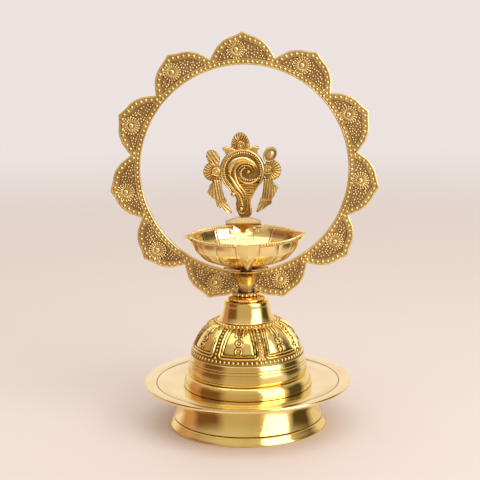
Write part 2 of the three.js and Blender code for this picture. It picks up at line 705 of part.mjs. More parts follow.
// The bowl's angles, closer together at the spouts.
function bowlAngles() {
  const pitch = 360 / SPOUTS;
  const panelWidth = (pitch - SPOUT_HALF_ANGLE * 2) / 3;
  const angles = [];
  for (let spout = 0; spout < SPOUTS; spout += 1) {
    const centre = spout * pitch;
    for (const share of [-0.7, -0.35, 0, 0.35, 0.7]) {
      angles.push(centre + share * SPOUT_HALF_ANGLE);
    }
    for (let panel = 0; panel < 3; panel += 1) {
      for (const share of [0, 0.33, 0.67]) {
        angles.push(centre + SPOUT_HALF_ANGLE + (panel + share) * panelWidth);
      }
    }
    angles.push(centre + pitch - SPOUT_HALF_ANGLE);
  }
  return angles.sort((low, high) => low - high);
}

// A closed skin over rings of points, with a point at each end.
function skin(rings, startPoint, endPoint) {
  const around = rings[0].length;
  const positions = [startPoint, ...rings.flat(), endPoint].flat();
  const last = rings.length * around + 1;
  const corners = [];
  for (let i = 0; i < around; i += 1) {
    const next = (i + 1) % around;
    corners.push(0, 1 + next, 1 + i);
    for (let ring = 0; ring + 1 < rings.length; ring += 1) {
      const low = 1 + ring * around;
      const high = low + around;
      corners.push(low + i, low + next, high + next, low + i, high + next, high + i);
    }
    const top = 1 + (rings.length - 1) * around;
    corners.push(top + i, top + next, last);
  }
  const geometry = new THREE.BufferGeometry();
  geometry.setAttribute('position', new THREE.Float32BufferAttribute(positions, 3));
  geometry.setIndex(corners);
  return geometry;
}

const outerShares = [0, 0.08, 0.18, 0.3, 0.42, 0.55, 0.7, 0.85, 1];
const innerShares = [1, 0.8, 0.6, 0.42, 0.24, 0.1, 0];

function makeBowl() {
  const angles = bowlAngles();
  const ring = (share, offset, lift) => angles.map((angle) => {
    const [x, y, z] = bowlPoint(angle, share, offset);
    return [x, y, z + lift];
  });
  const floorLift = BOWL_WALL * 0.6;
  const inside = innerShares.map((share) => ring(share, -BOWL_WALL, share === 1 ? floorLift : 0));
  const outside = outerShares.map((share) => ring(share, 0, 0));
  const rings = [...inside, ...outside];
  const shell = skin(rings, [0, 0, bowlFloor + BOWL_WALL], [0, 0, bowlFloor]);
  const hole = cylinder(SCREW_RADIUS + SEAT_GAP, bowlFloor - OVERCUT, BOWL_WALL + OVERCUT * 2,
    SCREW_FACETS);
  let solid = toSolid(shell).subtract(toSolid(hole));
  for (const side of [-1, 1]) {
    solid = solid.subtract(rivetHole(side));
  }
  return toGeometry(solid);
}

// A frame on the bowl's back wall for one rivet, with Y square out of the wall.
function rivetFrame(side) {
  const share = RIVET_PLACE;
  const wallRadius = bowlSection.getPoint(share).x;
  const angle = 180 + side * THREE.MathUtils.radToDeg(Math.asin(RIVET_SPACING / 2 / wallRadius));
  const at = (turn, level) => new THREE.Vector3(...bowlPoint(turn, level, 0));
  const origin = at(angle, share);
  const along = at(angle + 1, share).sub(at(angle - 1, share));
  const down = at(angle, share + 0.05).sub(at(angle, share - 0.05));
  const out = new THREE.Vector3().crossVectors(along, down).normalize();
  if (out.dot(new THREE.Vector3(origin.x, origin.y, 0)) < 0) {
    out.negate();
  }
  const across = along.normalize();
  const frame = new THREE.Matrix4();
  frame.makeBasis(across, out, new THREE.Vector3().crossVectors(across, out));
  frame.setPosition(origin);
  return frame;
}

function rivetHole(side) {
  const reach = (BOWL_WALL + STRAP_THICKNESS + SEAT_GAP) * 4;
  const geometry = new THREE.CylinderGeometry(
    RIVET_RADIUS + SEAT_GAP, RIVET_RADIUS + SEAT_GAP, reach, SCREW_FACETS);
  geometry.applyMatrix4(rivetFrame(side));
  return toSolid(geometry);
}

// Rivet: a domed head inside the bowl, a shank, and a flat tail behind the strap.
function makeRivet(side) {
  const headSeat = -BOWL_WALL - SEAT_GAP;
  const tailSeat = STRAP_THICKNESS + SEAT_GAP * 2;
  const points = [
    [0, headSeat - RIVET_HEAD_HEIGHT],
    [RIVET_HEAD_RADIUS * 0.7, headSeat - RIVET_HEAD_HEIGHT * 0.75],
    [RIVET_HEAD_RADIUS, headSeat],
    [RIVET_RADIUS, headSeat],
    [RIVET_RADIUS, tailSeat],
    [RIVET_HEAD_RADIUS, tailSeat],
    [RIVET_HEAD_RADIUS, tailSeat + RIVET_TAIL_HEIGHT],
    [0, tailSeat + RIVET_TAIL_HEIGHT],
  ].map(([x, y]) => new THREE.Vector2(x, y));
  const geometry = new THREE.LatheGeometry(points, SCREW_FACETS);
  geometry.applyMatrix4(rivetFrame(side));
  return welded(geometry);
}

// Twisted wire on one quarter of the rim, from one spout to the next.
function makeRope(quarter) {
  const start = quarter * 360 / SPOUTS + ROPE_END_ANGLE;
  const end = (quarter + 1) * 360 / SPOUTS - ROPE_END_ANGLE;
  const height = bowlRim + SEAT_GAP + ROPE_RADIUS;
  const steps = 12;
  const points = [];
  for (let step = 0; step <= steps; step += 1) {
    const angle = start + (end - start) * step / steps;
    const [x, y] = bowlPoint(angle, 0, -BOWL_WALL / 2);
    points.push(new THREE.Vector3(x, y, height));
  }
  const path = new THREE.CatmullRomCurve3(points);
  const section = new THREE.Shape();
  section.absarc(0, 0, ROPE_RADIUS, 0, 2 * Math.PI);
  const geometry = new THREE.ExtrudeGeometry(section, {
    extrudePath: path,
    steps,
    curveSegments: 4,
    bevelEnabled: false,
  });
  return welded(geometry);
}

// The bowl's outside grown by the given amount and carried up past its rim.
function bowlFilled(offset) {
  const angles = bowlAngles();
  const top = finialFootFloor + OVERCUT;
  const rim = angles.map((angle) => {
    const [x, y] = bowlPoint(angle, 0, offset);
    return [x, y, top];
  });
  const walls = outerShares.map((share) => angles.map((angle) => bowlPoint(angle, share, offset)));
  return toSolid(skin([rim, ...walls], [0, 0, top], [0, 0, bowlFloor - offset]));
}

// Finial foot: a small pyramid on the back spout, with a strap down the bowl's wall.
function makeFinialFoot() {
  const top = finialFootFloor + FINIAL_FOOT_HEIGHT;
  const levels = [
    [FINIAL_FOOT_WIDTH / 2, FINIAL_FOOT_DEPTH / 2, finialFootFloor],
    [FINIAL_FOOT_WIDTH / 2, FINIAL_FOOT_DEPTH / 2, finialFootFloor + FINIAL_FOOT_EDGE],
    [FINIAL_FOOT_TOP_WIDTH / 2, FINIAL_FOOT_TOP_DEPTH / 2, top],
  ];
  const rings = levels.map(([x, y, z]) => [
    [x, finialPlaneY - y, z],
    [x, finialPlaneY + y, z],
    [-x, finialPlaneY + y, z],
    [-x, finialPlaneY - y, z],
  ]);
  const body = skin(rings, [0, finialPlaneY, finialFootFloor], [0, finialPlaneY, top]);
  const strapFloor = bowlRim - STRAP_DROP;
  const strapTop = finialFootFloor + FINIAL_FOOT_EDGE / 2;
  const strapSpace = block(STRAP_WIDTH, BOWL_RIM_RADIUS, strapTop - strapFloor,
    0, BOWL_RIM_RADIUS, (strapTop + strapFloor) / 2);
  const strapSkin = bowlFilled(SEAT_GAP + STRAP_THICKNESS).subtract(bowlFilled(SEAT_GAP));
  let solid = toSolid(body).add(strapSkin.intersect(toSolid(strapSpace)));
  for (const side of [-1, 1]) {
    solid = solid.subtract(rivetHole(side));
  }
  return toGeometry(solid);
}

function outline(points) {
  return new THREE.Shape(points.map(([x, z]) => new THREE.Vector2(x, z)));
}

function disc(radius, x, z, facets) {
  const points = circlePath(radius, facets).map((point) => [point.x + x, point.y + z]);
  return outline(points);
}

function oval(length, width, tilt, x, z, facets) {
  const points = circlePath(1, facets).map((point) => {
    const across = point.x * width / 2;
    const along = point.y * length / 2;
    return [
      x + across * Math.cos(tilt) + along * Math.sin(tilt),
      z - across * Math.sin(tilt) + along * Math.cos(tilt),
    ];
  });
  return outline(points);
}

// Conch finial: a disc on a tapering tail, a fan crest on top, and on each side a
// fan, a petal and a knotted ribbon, with the shell's body swelling from the disc.
function makeConchFinial() {
  const front = -CONCH_THICKNESS / 2;
  const back = CONCH_THICKNESS / 2;
  const slab = (shape, proud = 0) => toSolid(plate(shape, front - proud, back));
  const tailTop = DISC_HEIGHT - DISC_RADIUS * 0.45;
  const tailTopHalf = DISC_RADIUS * 0.9;
  let solid = slab(disc(DISC_RADIUS, 0, DISC_HEIGHT, 36));
  solid = solid.add(slab(outline([
    [-tailTopHalf, tailTop],
    [-BALL_PLACE - 0.8, BALL_HEIGHT + 2.2],
    [-CONCH_TAIL_LEFT, BALL_HEIGHT - 2.6],
    [-CONCH_TAIL_LEFT - 0.3, BALL_HEIGHT / 2],
    [-CONCH_TAIL_LEFT + 1.0, 0],
    [CONCH_TAIL_RIGHT - 1.2, 0],
    [CONCH_TAIL_RIGHT + 0.3, 1.2],
    [CONCH_TAIL_RIGHT - 0.3, BALL_HEIGHT / 2],
    [CONCH_TAIL_RIGHT + 0.2, BALL_HEIGHT - 2.0],
    [tailTopHalf, tailTop],
  ])));
  solid = solid.add(slab(disc(CREST_RADIUS, 0, CREST_HEIGHT, 20), TRIM_PROUD));
  const crestNeck = block(CREST_RADIUS * 1.6, CONCH_THICKNESS, CREST_RADIUS, 0, 0,
    (CREST_HEIGHT + DISC_HEIGHT + DISC_RADIUS) / 2 - CREST_RADIUS * 0.6);
  solid = solid.add(toSolid(crestNeck));
  for (const side of [-1, 1]) {
    const mirror = (points) => outline(points.map(([x, z]) => [side * x, z]));
    const innerEdge = RIBBON_PLACE - RIBBON_WIDTH / 2;
    const outerEdge = RIBBON_PLACE + RIBBON_WIDTH / 2;
    const knotInner = outerEdge - KNOT_WIDTH;
    solid = solid.add(slab(disc(FAN_RADIUS, side * FAN_PLACE, FAN_HEIGHT, 20), TRIM_PROUD));
    solid = solid.add(slab(oval(PETAL_LENGTH, PETAL_WIDTH, side * radians(PETAL_TILT),
      side * PETAL_PLACE, PETAL_HEIGHT, 16), TRIM_PROUD));
    solid = solid.add(slab(oval(LEAF_LENGTH, LEAF_WIDTH, side * radians(75),
      side * LEAF_PLACE, LEAF_HEIGHT, 10)));
    solid = solid.add(slab(mirror([
      [innerEdge, FAN_HEIGHT - FAN_RADIUS + 1.5],
      [outerEdge, FAN_HEIGHT - FAN_RADIUS + 1.5],
      [outerEdge + 0.4, KNOT_HEIGHT + 8.2],
      [FLAP_REACH - 1.2, KNOT_HEIGHT + 7.4],
      [FLAP_REACH, KNOT_HEIGHT + 5.4],
      [outerEdge + 0.2, KNOT_HEIGHT],
      [knotInner, KNOT_HEIGHT],
    ])));
    solid = solid.add(slab(mirror([
      [knotInner, KNOT_HEIGHT + 0.6],
      [outerEdge, KNOT_HEIGHT + 0.6],
      [outerEdge, KNOT_HEIGHT - 0.6],
      [knotInner, KNOT_HEIGHT - 0.6],
    ]), TRIM_PROUD));
    solid = solid.add(slab(mirror([
      [knotInner, KNOT_HEIGHT],
      [outerEdge, KNOT_HEIGHT],
      [outerEdge - 0.8, KNOT_HEIGHT - 3.4],
      [TASSEL_TIP + 0.9, KNOT_HEIGHT - 8.0],
      [TASSEL_TIP, KNOT_HEIGHT - 7.2],
    ])));
  }
  const ball = new THREE.SphereGeometry(BALL_RADIUS, 10, 6);
  ball.translate(-BALL_PLACE, front + 0.5, BALL_HEIGHT);
  solid = solid.add(toSolid(ball));
  const rim = shapeWithHole(
    circlePath(DISC_RADIUS, 36),
    circlePath(DISC_RADIUS - DISC_RIM_WIDTH, 36),
  );
  const rimPlate = plate(rim, front - DISC_RIM_PROUD, front + 0.3);
  rimPlate.translate(0, 0, DISC_HEIGHT);
  solid = solid.add(toSolid(rimPlate));
  const shell = new THREE.SphereGeometry(1, 18, 10);
  shell.scale(SHELL_RADIUS, SHELL_PROUD, SHELL_RADIUS);
  shell.translate(0, front, DISC_HEIGHT);
  solid = solid.add(toSolid(shell));
  return toGeometry(solid);
}

// Assembly.
const lamp = new THREE.Group();
const base = new THREE.Group();
const upper = new THREE.Group();
const halo = new THREE.Group();
const bowl = new THREE.Group();
const finial = new THREE.Group();
halo.position.z = haloCentre;
bowl.rotation.z = radians(BOWL_TURN);
finial.position.set(0, finialPlaneY, conchFloor);
upper.add(halo);
bowl.add(finial);
lamp.add(base, upper, bowl);

add(base, 'foot', makeFoot(), POLISHED);
add(base, 'drip_plate', makeDripPlate(), POLISHED);
add(base, 'hub', makeHub(), POLISHED);
add(base, 'dome', makeDome(), POLISHED);
add(base, 'neck', makeNeck(), POLISHED);
add(base, 'tie_rod', makeTieRod(), TURNED_DARK);
add(base, 'base_washer', makeWasher(), TURNED_DARK);
add(base, 'base_nut', makeNut(), TURNED_DARK);
add(upper, 'seat_collar', makeCollar(), POLISHED);
add(upper, 'bead_ring', makeBeadRing(), ANTIQUE);
add(upper, 'cup_stem', makeCupStem(), BURNISHED);
add(halo, 'halo_plate', makeHaloPlate(), ANTIQUE);
add(upper, 'bowl_spacer', makeSpacer(), TURNED_DARK);
add(upper, 'bowl_screw', makeScrew(), TURNED_DARK);
add(bowl, 'bowl', makeBowl(), BURNISHED);
for (let quarter = 0; quarter < SPOUTS; quarter += 1) {
  add(bowl, `rim_rope_${quarter + 1}`, makeRope(quarter), BURNISHED);
}
add(bowl, 'finial_foot', makeFinialFoot(), ANTIQUE);
add(bowl, 'finial_rivet_left', makeRivet(-1), POLISHED);
add(bowl, 'finial_rivet_right', makeRivet(1), POLISHED);
add(finial, 'conch_finial', makeConchFinial(), ANTIQUE);

export default lamp;
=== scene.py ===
import math

import bpy
import numpy as np
from mathutils import Matrix, Vector


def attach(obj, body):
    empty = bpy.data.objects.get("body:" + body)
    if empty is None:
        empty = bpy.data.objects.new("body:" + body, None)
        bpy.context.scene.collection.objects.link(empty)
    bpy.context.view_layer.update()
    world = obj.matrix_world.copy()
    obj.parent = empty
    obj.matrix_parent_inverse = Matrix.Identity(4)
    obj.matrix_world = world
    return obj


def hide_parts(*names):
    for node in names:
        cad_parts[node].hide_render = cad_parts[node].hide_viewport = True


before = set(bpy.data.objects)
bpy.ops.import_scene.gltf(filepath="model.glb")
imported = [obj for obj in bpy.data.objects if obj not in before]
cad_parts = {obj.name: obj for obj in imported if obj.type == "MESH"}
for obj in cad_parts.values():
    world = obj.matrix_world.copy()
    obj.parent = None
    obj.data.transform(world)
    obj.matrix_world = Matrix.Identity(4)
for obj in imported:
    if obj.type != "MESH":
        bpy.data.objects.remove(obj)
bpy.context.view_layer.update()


# Foot. The hollow flared base that carries the whole lamp, turned from a brass casting.
# One line is cut above its edge, and its flat deck is bored for the tie rod.
# All sizes in this file are in millimetres, and a piece's mesh is scaled to metres.

MM = 0.001
ROD_HOLE = 3.3
TURNED_STEPS = 144
FOOT_HEIGHT = 19.2
FOOT_LIP = [(41.1, 0.0), (41.35, 0.2), (41.4, 0.65), (41.2, 1.1), (40.35, 2.2), (39.6, 3.3), (39.25, 3.95)]
FOOT_GROOVE = [(38.95, 4.15), (38.8, 4.3), (38.9, 4.5)]
FOOT_FLARE = [(38.95, 4.7), (37.7, 6.7), (36.4, 9.4), (35.5, 12.0), (34.95, 14.8), (34.65, 17.4),
              (34.6, FOOT_HEIGHT)]
FOOT_INSIDE = [(ROD_HOLE, FOOT_HEIGHT), (ROD_HOLE, 17.2), (32.4, 17.2), (36.8, 4.3), (38.54, 0.0)]
POLISHED_TINT = (0.90, 0.68, 0.25)
POLISHED_DEEP = (0.78, 0.51, 0.12)
# Dark old polish and painted shade, for cut lines and recesses.
OLD_POLISH_AND_SHADE = (0.13, 0.065, 0.012)


def smooth_line(knots, steps):
    """A Catmull-Rom line through the given [radius, height] knots."""
    knots = np.array(knots, float)
    padded = np.vstack([knots[0], knots, knots[-1]])
    line = []
    for share in np.linspace(0, len(knots) - 1, steps * (len(knots) - 1) + 1):
        span = min(int(share), len(knots) - 2)
        t = share - span
        a, b, c, d = padded[span:span + 4]
        line.append(0.5 * (2 * b + (c - a) * t + (2 * a - 5 * b + 4 * c - d) * t ** 2
                           + (3 * b - a - 3 * c + d) * t ** 3))
    return [tuple(point) for point in line]


def turned_surface(profile, steps):
    """Points and faces of a closed profile of [radius, height] turned about the lamp's axis."""
    angles = np.arange(steps) * 2 * math.pi / steps
    points = []
    rings = []
    for radius, height in profile:
        if radius < 1e-6:
            rings.append([len(points)] * steps)
            points.append((0.0, 0.0, height))
        else:
            rings.append(list(range(len(points), len(points) + steps)))
            points += [(radius * math.sin(a), -radius * math.cos(a), height) for a in angles]
    faces = []
    for low, high in zip(rings, rings[1:] + rings[:1]):
        for i in range(steps):
            j = (i + 1) % steps
            corners = [low[i], low[j], high[j], high[i]]
            kept = [c for k, c in enumerate(corners) if c != corners[k - 1]]
            if len(kept) > 2:
                faces.append(kept)
    return np.array(points), faces


def signed_volume(points, faces):
    total = 0.0
    for face in faces:
        first = points[face[0]]
        for b, c in zip(face[1:-1], face[2:]):
            total += np.dot(first, np.cross(points[b], points[c]))
    return total


def mesh_piece(name, points, faces, crease=38.0, polish_and_shade=None):
    """A piece with its place in its mesh, faces outward, and shading that breaks at sharp edges."""
    points = np.asarray(points, float)
    if signed_volume(points, faces) < 0:
        faces = [face[::-1] for face in faces]
    mesh = bpy.data.meshes.new(name)
    mesh.from_pydata((points * MM).tolist(), [], faces)
    # Each point's share of old polish and painted shade, which the materials read.
    if polish_and_shade is not None:
        attribute = mesh.attributes.new("polish_and_shade", "FLOAT", "POINT")
        attribute.data.foreach_set("value", np.asarray(polish_and_shade, np.float32))
    mesh.shade_smooth()
    mesh.set_sharp_from_angle(angle=math.radians(crease))
    piece = bpy.data.objects.new(name, mesh)
    bpy.context.scene.collection.objects.link(piece)
    return piece


def turned_piece(name, profile, steps=TURNED_STEPS, crease=38.0, cut=()):
    """A turned piece, with the cut points of its profile darkened by old polish and painted shade."""
    points, faces = turned_surface(profile, steps)
    polish_and_shade = None
    if cut:
        polish_and_shade = np.repeat([float(point in cut) for point in profile], steps)
    return mesh_piece(name, points, faces, crease, polish_and_shade)


def node(tree, kind, inputs=None, **settings):
    """A node with its settings, and its inputs by name or number as values or as other nodes' outputs."""
    made = tree.nodes.new(kind)
    for key, value in settings.items():
        setattr(made, key, value)
    for key, value in (inputs or {}).items():
        if isinstance(value, bpy.types.NodeSocket):
            tree.links.new(value, made.inputs[key])
        else:
            made.inputs[key].default_value = value
    return made


def brass_tree(name):
    material = bpy.data.materials.new(name)
    material.use_nodes = True
    tree = material.node_tree
    tree.nodes.clear()
    place = node(tree, "ShaderNodeTexCoord").outputs["Object"]
    return material, tree, place


def brass_surface(tree, colour, roughness, height, distance):
    """The metal shader itself, with its colour, roughness and fine surface from other nodes."""
    bump = node(tree, "ShaderNodeBump", {"Strength": 1.0, "Distance": distance, "Height": height})
    shader = node(tree, "ShaderNodeBsdfPrincipled", {
        "Base Color": colour, "Metallic": 1.0, "Roughness": roughness, "Normal": bump.outputs["Normal"]})
    output = node(tree, "ShaderNodeOutputMaterial", {"Surface": shader.outputs["BSDF"]})
    return output


def blended(tree, share, first, second):
    """A colour between two others, each a colour or another node's output."""
    mix = node(tree, "ShaderNodeMix", {"Factor": share}, data_type="RGBA")
    for socket, value in ((mix.inputs[6], first), (mix.inputs[7], second)):
        if isinstance(value, bpy.types.NodeSocket):
            tree.links.new(value, socket)
        else:
            socket.default_value = (*value, 1.0)
    return mix.outputs[2]


def spread(tree, value, low, high, out_low, out_high):
    """Value's range from low to high laid over another range."""
    return node(tree, "ShaderNodeMapRange", {
        "Value": value, "From Min": low, "From Max": high,
        "To Min": out_low, "To Max": out_high}).outputs["Result"]


def turned_brass(name, tint, deep, gloss, mark_depth, polish_and_shade_tint=None):
    """Polished brass with the rings that a lathe tool leaves, streaks of wear and cloudy tarnish."""
    material, tree, place = brass_tree(name)
    parts = node(tree, "ShaderNodeSeparateXYZ", {"Vector": place})
    flat = node(tree, "ShaderNodeCombineXYZ", {"X": parts.outputs["X"], "Y": parts.outputs["Y"]})
    radius = node(tree, "ShaderNodeVectorMath", {0: flat.outputs["Vector"]}, operation="LENGTH")
    ring_place = node(tree, "ShaderNodeCombineXYZ", {
        "X": radius.outputs["Value"], "Z": parts.outputs["Z"]})
    rings = node(tree, "ShaderNodeTexNoise", {
        "Vector": ring_place.outputs["Vector"], "Scale": 1500.0, "Detail": 4.0})
    cloud = node(tree, "ShaderNodeTexNoise", {"Vector": place, "Scale": 42.0, "Detail": 5.0})
    flattened = node(tree, "ShaderNodeVectorMath", {0: place, 1: (1.0, 1.0, 22.0)}, operation="MULTIPLY")
    streaks = node(tree, "ShaderNodeTexNoise", {
        "Vector": flattened.outputs["Vector"], "Scale": 95.0, "Detail": 5.0})
    marks = node(tree, "ShaderNodeMath", {0: rings.outputs["Fac"], 1: streaks.outputs["Fac"]},
                 operation="ADD")
    grain = node(tree, "ShaderNodeTexNoise", {"Vector": place, "Scale": 420.0, "Detail": 3.0})
    tarnish = spread(tree, cloud.outputs["Fac"], 0.42, 0.75, 0.0, 0.75)
    colour = blended(tree, tarnish, tint, deep)
    # Painted shade with old polish: points marked as recessed darken towards the recess tint.
    if polish_and_shade_tint is not None:
        depth = node(tree, "ShaderNodeAttribute", attribute_name="polish_and_shade").outputs["Fac"]
        colour = blended(tree, depth, colour, polish_and_shade_tint)
    ring_gloss = spread(tree, rings.outputs["Fac"], 0.35, 0.70, -0.02, 0.06)
    spot_gloss = spread(tree, grain.outputs["Fac"], 0.3, 0.8, gloss, gloss + 0.05)
    roughness = node(tree, "ShaderNodeMath", {0: ring_gloss, 1: spot_gloss}, operation="ADD")
    brass_surface(tree, colour, roughness.outputs["Value"], marks.outputs["Value"], mark_depth * MM)
    return material


def finish_piece(piece, material, body, slot, *stands_for):
    """Gives a piece its finish and body, and hides the solids that it stands for."""
    if material is not None:
        piece.data.materials.clear()
        piece.data.materials.append(material)
    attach(piece, body)
    if stands_for:
        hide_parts(*stands_for)
    return piece


polished_brass = turned_brass("polished_turned_brass", POLISHED_TINT, POLISHED_DEEP, 0.06, 0.014, OLD_POLISH_AND_SHADE)
foot_outside = FOOT_LIP + FOOT_GROOVE + smooth_line(FOOT_FLARE, 6)
# The cut line is darkened with old polish and painted shade.
foot = turned_piece("lamp_foot", foot_outside + FOOT_INSIDE, cut=FOOT_GROOVE)
finish_piece(foot, polished_brass, "base", "polished_brass", "foot")


# Drip plate. A shallow dish spun from sheet brass, clamped between the foot and the hub.
# It catches spilt oil, its edge is rounded, and one circle is engraved near the edge.

PLATE_FLOOR = 19.5
PLATE_TOP = 21.2
PLATE_MIDDLE = 34.6
PLATE_RADIUS = 53.8
PLATE_RIM_TOP = 23.5
SPUN_TINT = (0.97, 0.80, 0.44)
SPUN_DEEP = (0.88, 0.65, 0.27)
ENGRAVED_RADIUS = 47.7


def plate_top(radius):
    """Height of the dish's upper face at a radius outside its flat middle."""
    share = (radius - PLATE_MIDDLE) / (PLATE_RADIUS - PLATE_MIDDLE)
    return PLATE_TOP + (PLATE_RIM_TOP - PLATE_TOP) * share


plate_under = [(ROD_HOLE, PLATE_FLOOR), (PLATE_MIDDLE, PLATE_FLOOR), (44.0, 20.6)]
plate_edge = [(53.3, 21.8), (53.65, 21.95), (53.8, 22.25), (53.8, 23.1), (53.65, 23.38), (53.35, 23.48)]
plate_shoulder = [(ENGRAVED_RADIUS + 0.3, plate_top(ENGRAVED_RADIUS + 0.3))]
plate_groove = [(ENGRAVED_RADIUS + offset, plate_top(ENGRAVED_RADIUS) - depth)
                for offset, depth in ((0.15, 0.12), (0.0, 0.25), (-0.15, 0.12))]
plate_inside = [(ENGRAVED_RADIUS - 0.3, plate_top(ENGRAVED_RADIUS - 0.3)), (41.0, plate_top(41.0)),
                (PLATE_MIDDLE, PLATE_TOP), (ROD_HOLE, PLATE_TOP)]
spun_brass = turned_brass("spun_plate_brass", SPUN_TINT, SPUN_DEEP, 0.07, 0.010, OLD_POLISH_AND_SHADE)
# The engraved circle is darkened with old polish and painted shade.
drip_plate = turned_piece("lamp_drip_plate",
                          plate_under + plate_edge + plate_shoulder + plate_groove + plate_inside,
                          cut=plate_groove)
finish_piece(drip_plate, spun_brass, "base", "polished_brass", "drip_plate")


# Hub. A short drum with a rounded shoulder, turned bright, that lifts the dome off the drip plate.
# Its side spreads a little onto the plate, and a ledge inside its top carries the dome.

HUB_FLOOR = 21.4
HUB_TOP = 27.2
HUB_OUTSIDE = [(33.6, HUB_FLOOR), (33.55, 22.2), (33.35, 23.4), (32.95, 24.8), (32.4, 26.0), (31.9, 26.75)]
HUB_INSIDE = [(31.3, HUB_TOP), (24.9, HUB_TOP), (24.9, 25.2), (28.9, 25.2), (28.9, HUB_FLOOR)]

hub = turned_piece("lamp_hub", smooth_line(HUB_OUTSIDE, 5) + HUB_INSIDE)
finish_piece(hub, polished_brass, "base", "polished_brass", "hub")


# Dome. The hollow domed body, cast with seven framed panels and turned bright below them.
# Each panel has a double frame, a hanging stem between two drops, and two rings under it.
# Rows of beads run round above and below the panels and up between them.

DOME_KNOTS = [(30.4, 27.5), (31.05, 28.1), (31.0, 30.2), (30.6, 33.4), (29.1, 39.2), (24.5, 48.2),
              (20.2, 53.0), (15.9, 55.2)]
DOME_TOP = 55.6
DOME_WALL = 2.0
DOME_PANELS = 7
DOME_COLUMNS = 600
DOME_ROW_STEP = 0.25
GROOVE_ROWS = 0.7
DOME_GROOVES = [(33.6, 0.30, 0.12), (35.0, 0.40, 0.16), (38.15, 0.28, 0.34)]
BEAD_CHANNEL = (39.5, 1.05, 0.38)
PANEL_FLOOR = 40.75
PANEL_TOP_RADIUS = 17.2
PANEL_TURN = -9.6
COLUMN_HALF_WIDTH = 1.25
FRAME_CORNER = 2.4
PANEL_SINK = 0.34
FRAME_HEIGHT = 0.85
MOTIF_HEIGHT = 0.66


def along(profile, step):
    """Evenly spaced points on a line of [radius, height], with their outward normals."""
    line = np.array(profile, float)
    length = np.r_[0, np.cumsum(np.hypot(*np.diff(line, axis=0).T))]
    stations = np.linspace(0, length[-1], int(length[-1] / step) + 1)
    points = np.stack([np.interp(stations, length, line[:, k]) for k in (0, 1)], -1)
    tangent = np.gradient(points, axis=0)
    tangent /= np.hypot(*tangent.T)[:, None]
    return stations, points, np.stack([tangent[:, 1], -tangent[:, 0]], -1)


def bump_at(distance, half_width):
    """A rounded ridge's share of its height, from 0 at its side to 1 on its line."""
    return np.clip(1.0 - (distance / half_width) ** 2, 0.0, 1.0)


def panel_relief(across, up, half_width, full_height):
    """How far a panel's frame and motif stand out, at a place in the panel in millimetres."""
    side = half_width - np.abs(across)
    corner = (side < FRAME_CORNER) & (up < FRAME_CORNER)
    rounded = FRAME_CORNER - np.hypot(FRAME_CORNER - side, FRAME_CORNER - up)
    inward = np.where(corner, rounded, np.minimum(side, up))
    relief = -PANEL_SINK + FRAME_HEIGHT * bump_at(inward - 0.75, 0.55)
    relief += FRAME_HEIGHT * 0.75 * bump_at(inward - 2.15, 0.5)
    relief += PANEL_SINK * 0.7 * np.clip((inward - 3.0) / 0.4, 0.0, 1.0)
    for ring_up, ring_radius, opening in ((8.9, 1.45, 0.0), (4.7, 1.6, 0.9)):
        from_centre = np.hypot(across, up - ring_up)
        open_below = (np.abs(across) < opening) & (up < ring_up)
        ring = MOTIF_HEIGHT * bump_at(from_centre - ring_radius, 0.5)
        relief += np.where(open_below, 0.0, ring)
        relief -= PANEL_SINK * 0.7 * bump_at(from_centre - ring_radius, 1.1) * (inward > 3.0)
    stem = np.where(up > 10.6, MOTIF_HEIGHT * bump_at(across, 0.42), 0.0)
    drop_width = 0.45 + 0.35 * bump_at(up - 13.2, 1.2)
    drops = np.where((up > 12.4) & (up < full_height), MOTIF_HEIGHT, 0.0)
    drops = drops * bump_at(np.abs(across) - 1.75, drop_width)
    return relief + stem + drops


def crevices(relief, reach, strength):
    """How much old polish and painted shade darken each place on a grid that closes round: most beside raised
    work.
    """
    even = relief
    for _ in range(reach):
        even = (np.roll(even, 1, 1) + 2 * even + np.roll(even, -1, 1)) / 4
        padded = np.vstack([even[:1], even, even[-1:]])
        even = (padded[:-2] + 2 * even + padded[2:]) / 4
    return np.clip((even - relief) * strength, 0.0, 1.0)


dome_stations, dome_points, dome_normals = along(smooth_line(DOME_KNOTS, 24), DOME_ROW_STEP)
groove_heights = np.array([groove[0] for groove in DOME_GROOVES])
by_groove = np.min(np.abs(dome_points[:, 1:] - groove_heights), 1) < GROOVE_ROWS
above_band = dome_points[:, 1] > BEAD_CHANNEL[0] - BEAD_CHANNEL[1]
kept_rows = above_band | by_groove | (np.arange(len(dome_points)) % 2 == 0)
dome_stations = dome_stations[kept_rows]
dome_points = dome_points[kept_rows]
dome_normals = dome_normals[kept_rows]
dome_heights = dome_points[:, 1]
turned_relief = np.zeros(len(dome_points))
for groove_height, half_width, depth in DOME_GROOVES + [BEAD_CHANNEL]:
    turned_relief -= depth * bump_at(dome_heights - groove_height, half_width)
panel_start = np.interp(PANEL_FLOOR, dome_heights, dome_stations)
panel_end = np.interp(-PANEL_TOP_RADIUS, -dome_points[:, 0], dome_stations)
dome_angles = np.arange(DOME_COLUMNS) * 2 * math.pi / DOME_COLUMNS
panel_pitch = 2 * math.pi / DOME_PANELS
from_panel = (dome_angles - math.radians(PANEL_TURN) + panel_pitch / 2) % panel_pitch - panel_pitch / 2
across_panel = from_panel[None, :] * dome_points[:, :1]
half_widths = dome_points[:, :1] * panel_pitch / 2 - COLUMN_HALF_WIDTH
up_panel = (dome_stations - panel_start)[:, None]
relief = panel_relief(across_panel, up_panel, half_widths, panel_end - panel_start)
in_panels = (dome_stations > panel_start) & (dome_stations < panel_end)
between_panels = np.where(np.abs(across_panel) > half_widths, -PANEL_SINK, relief)
dome_relief = np.where(in_panels[:, None], between_panels, turned_relief[:, None])
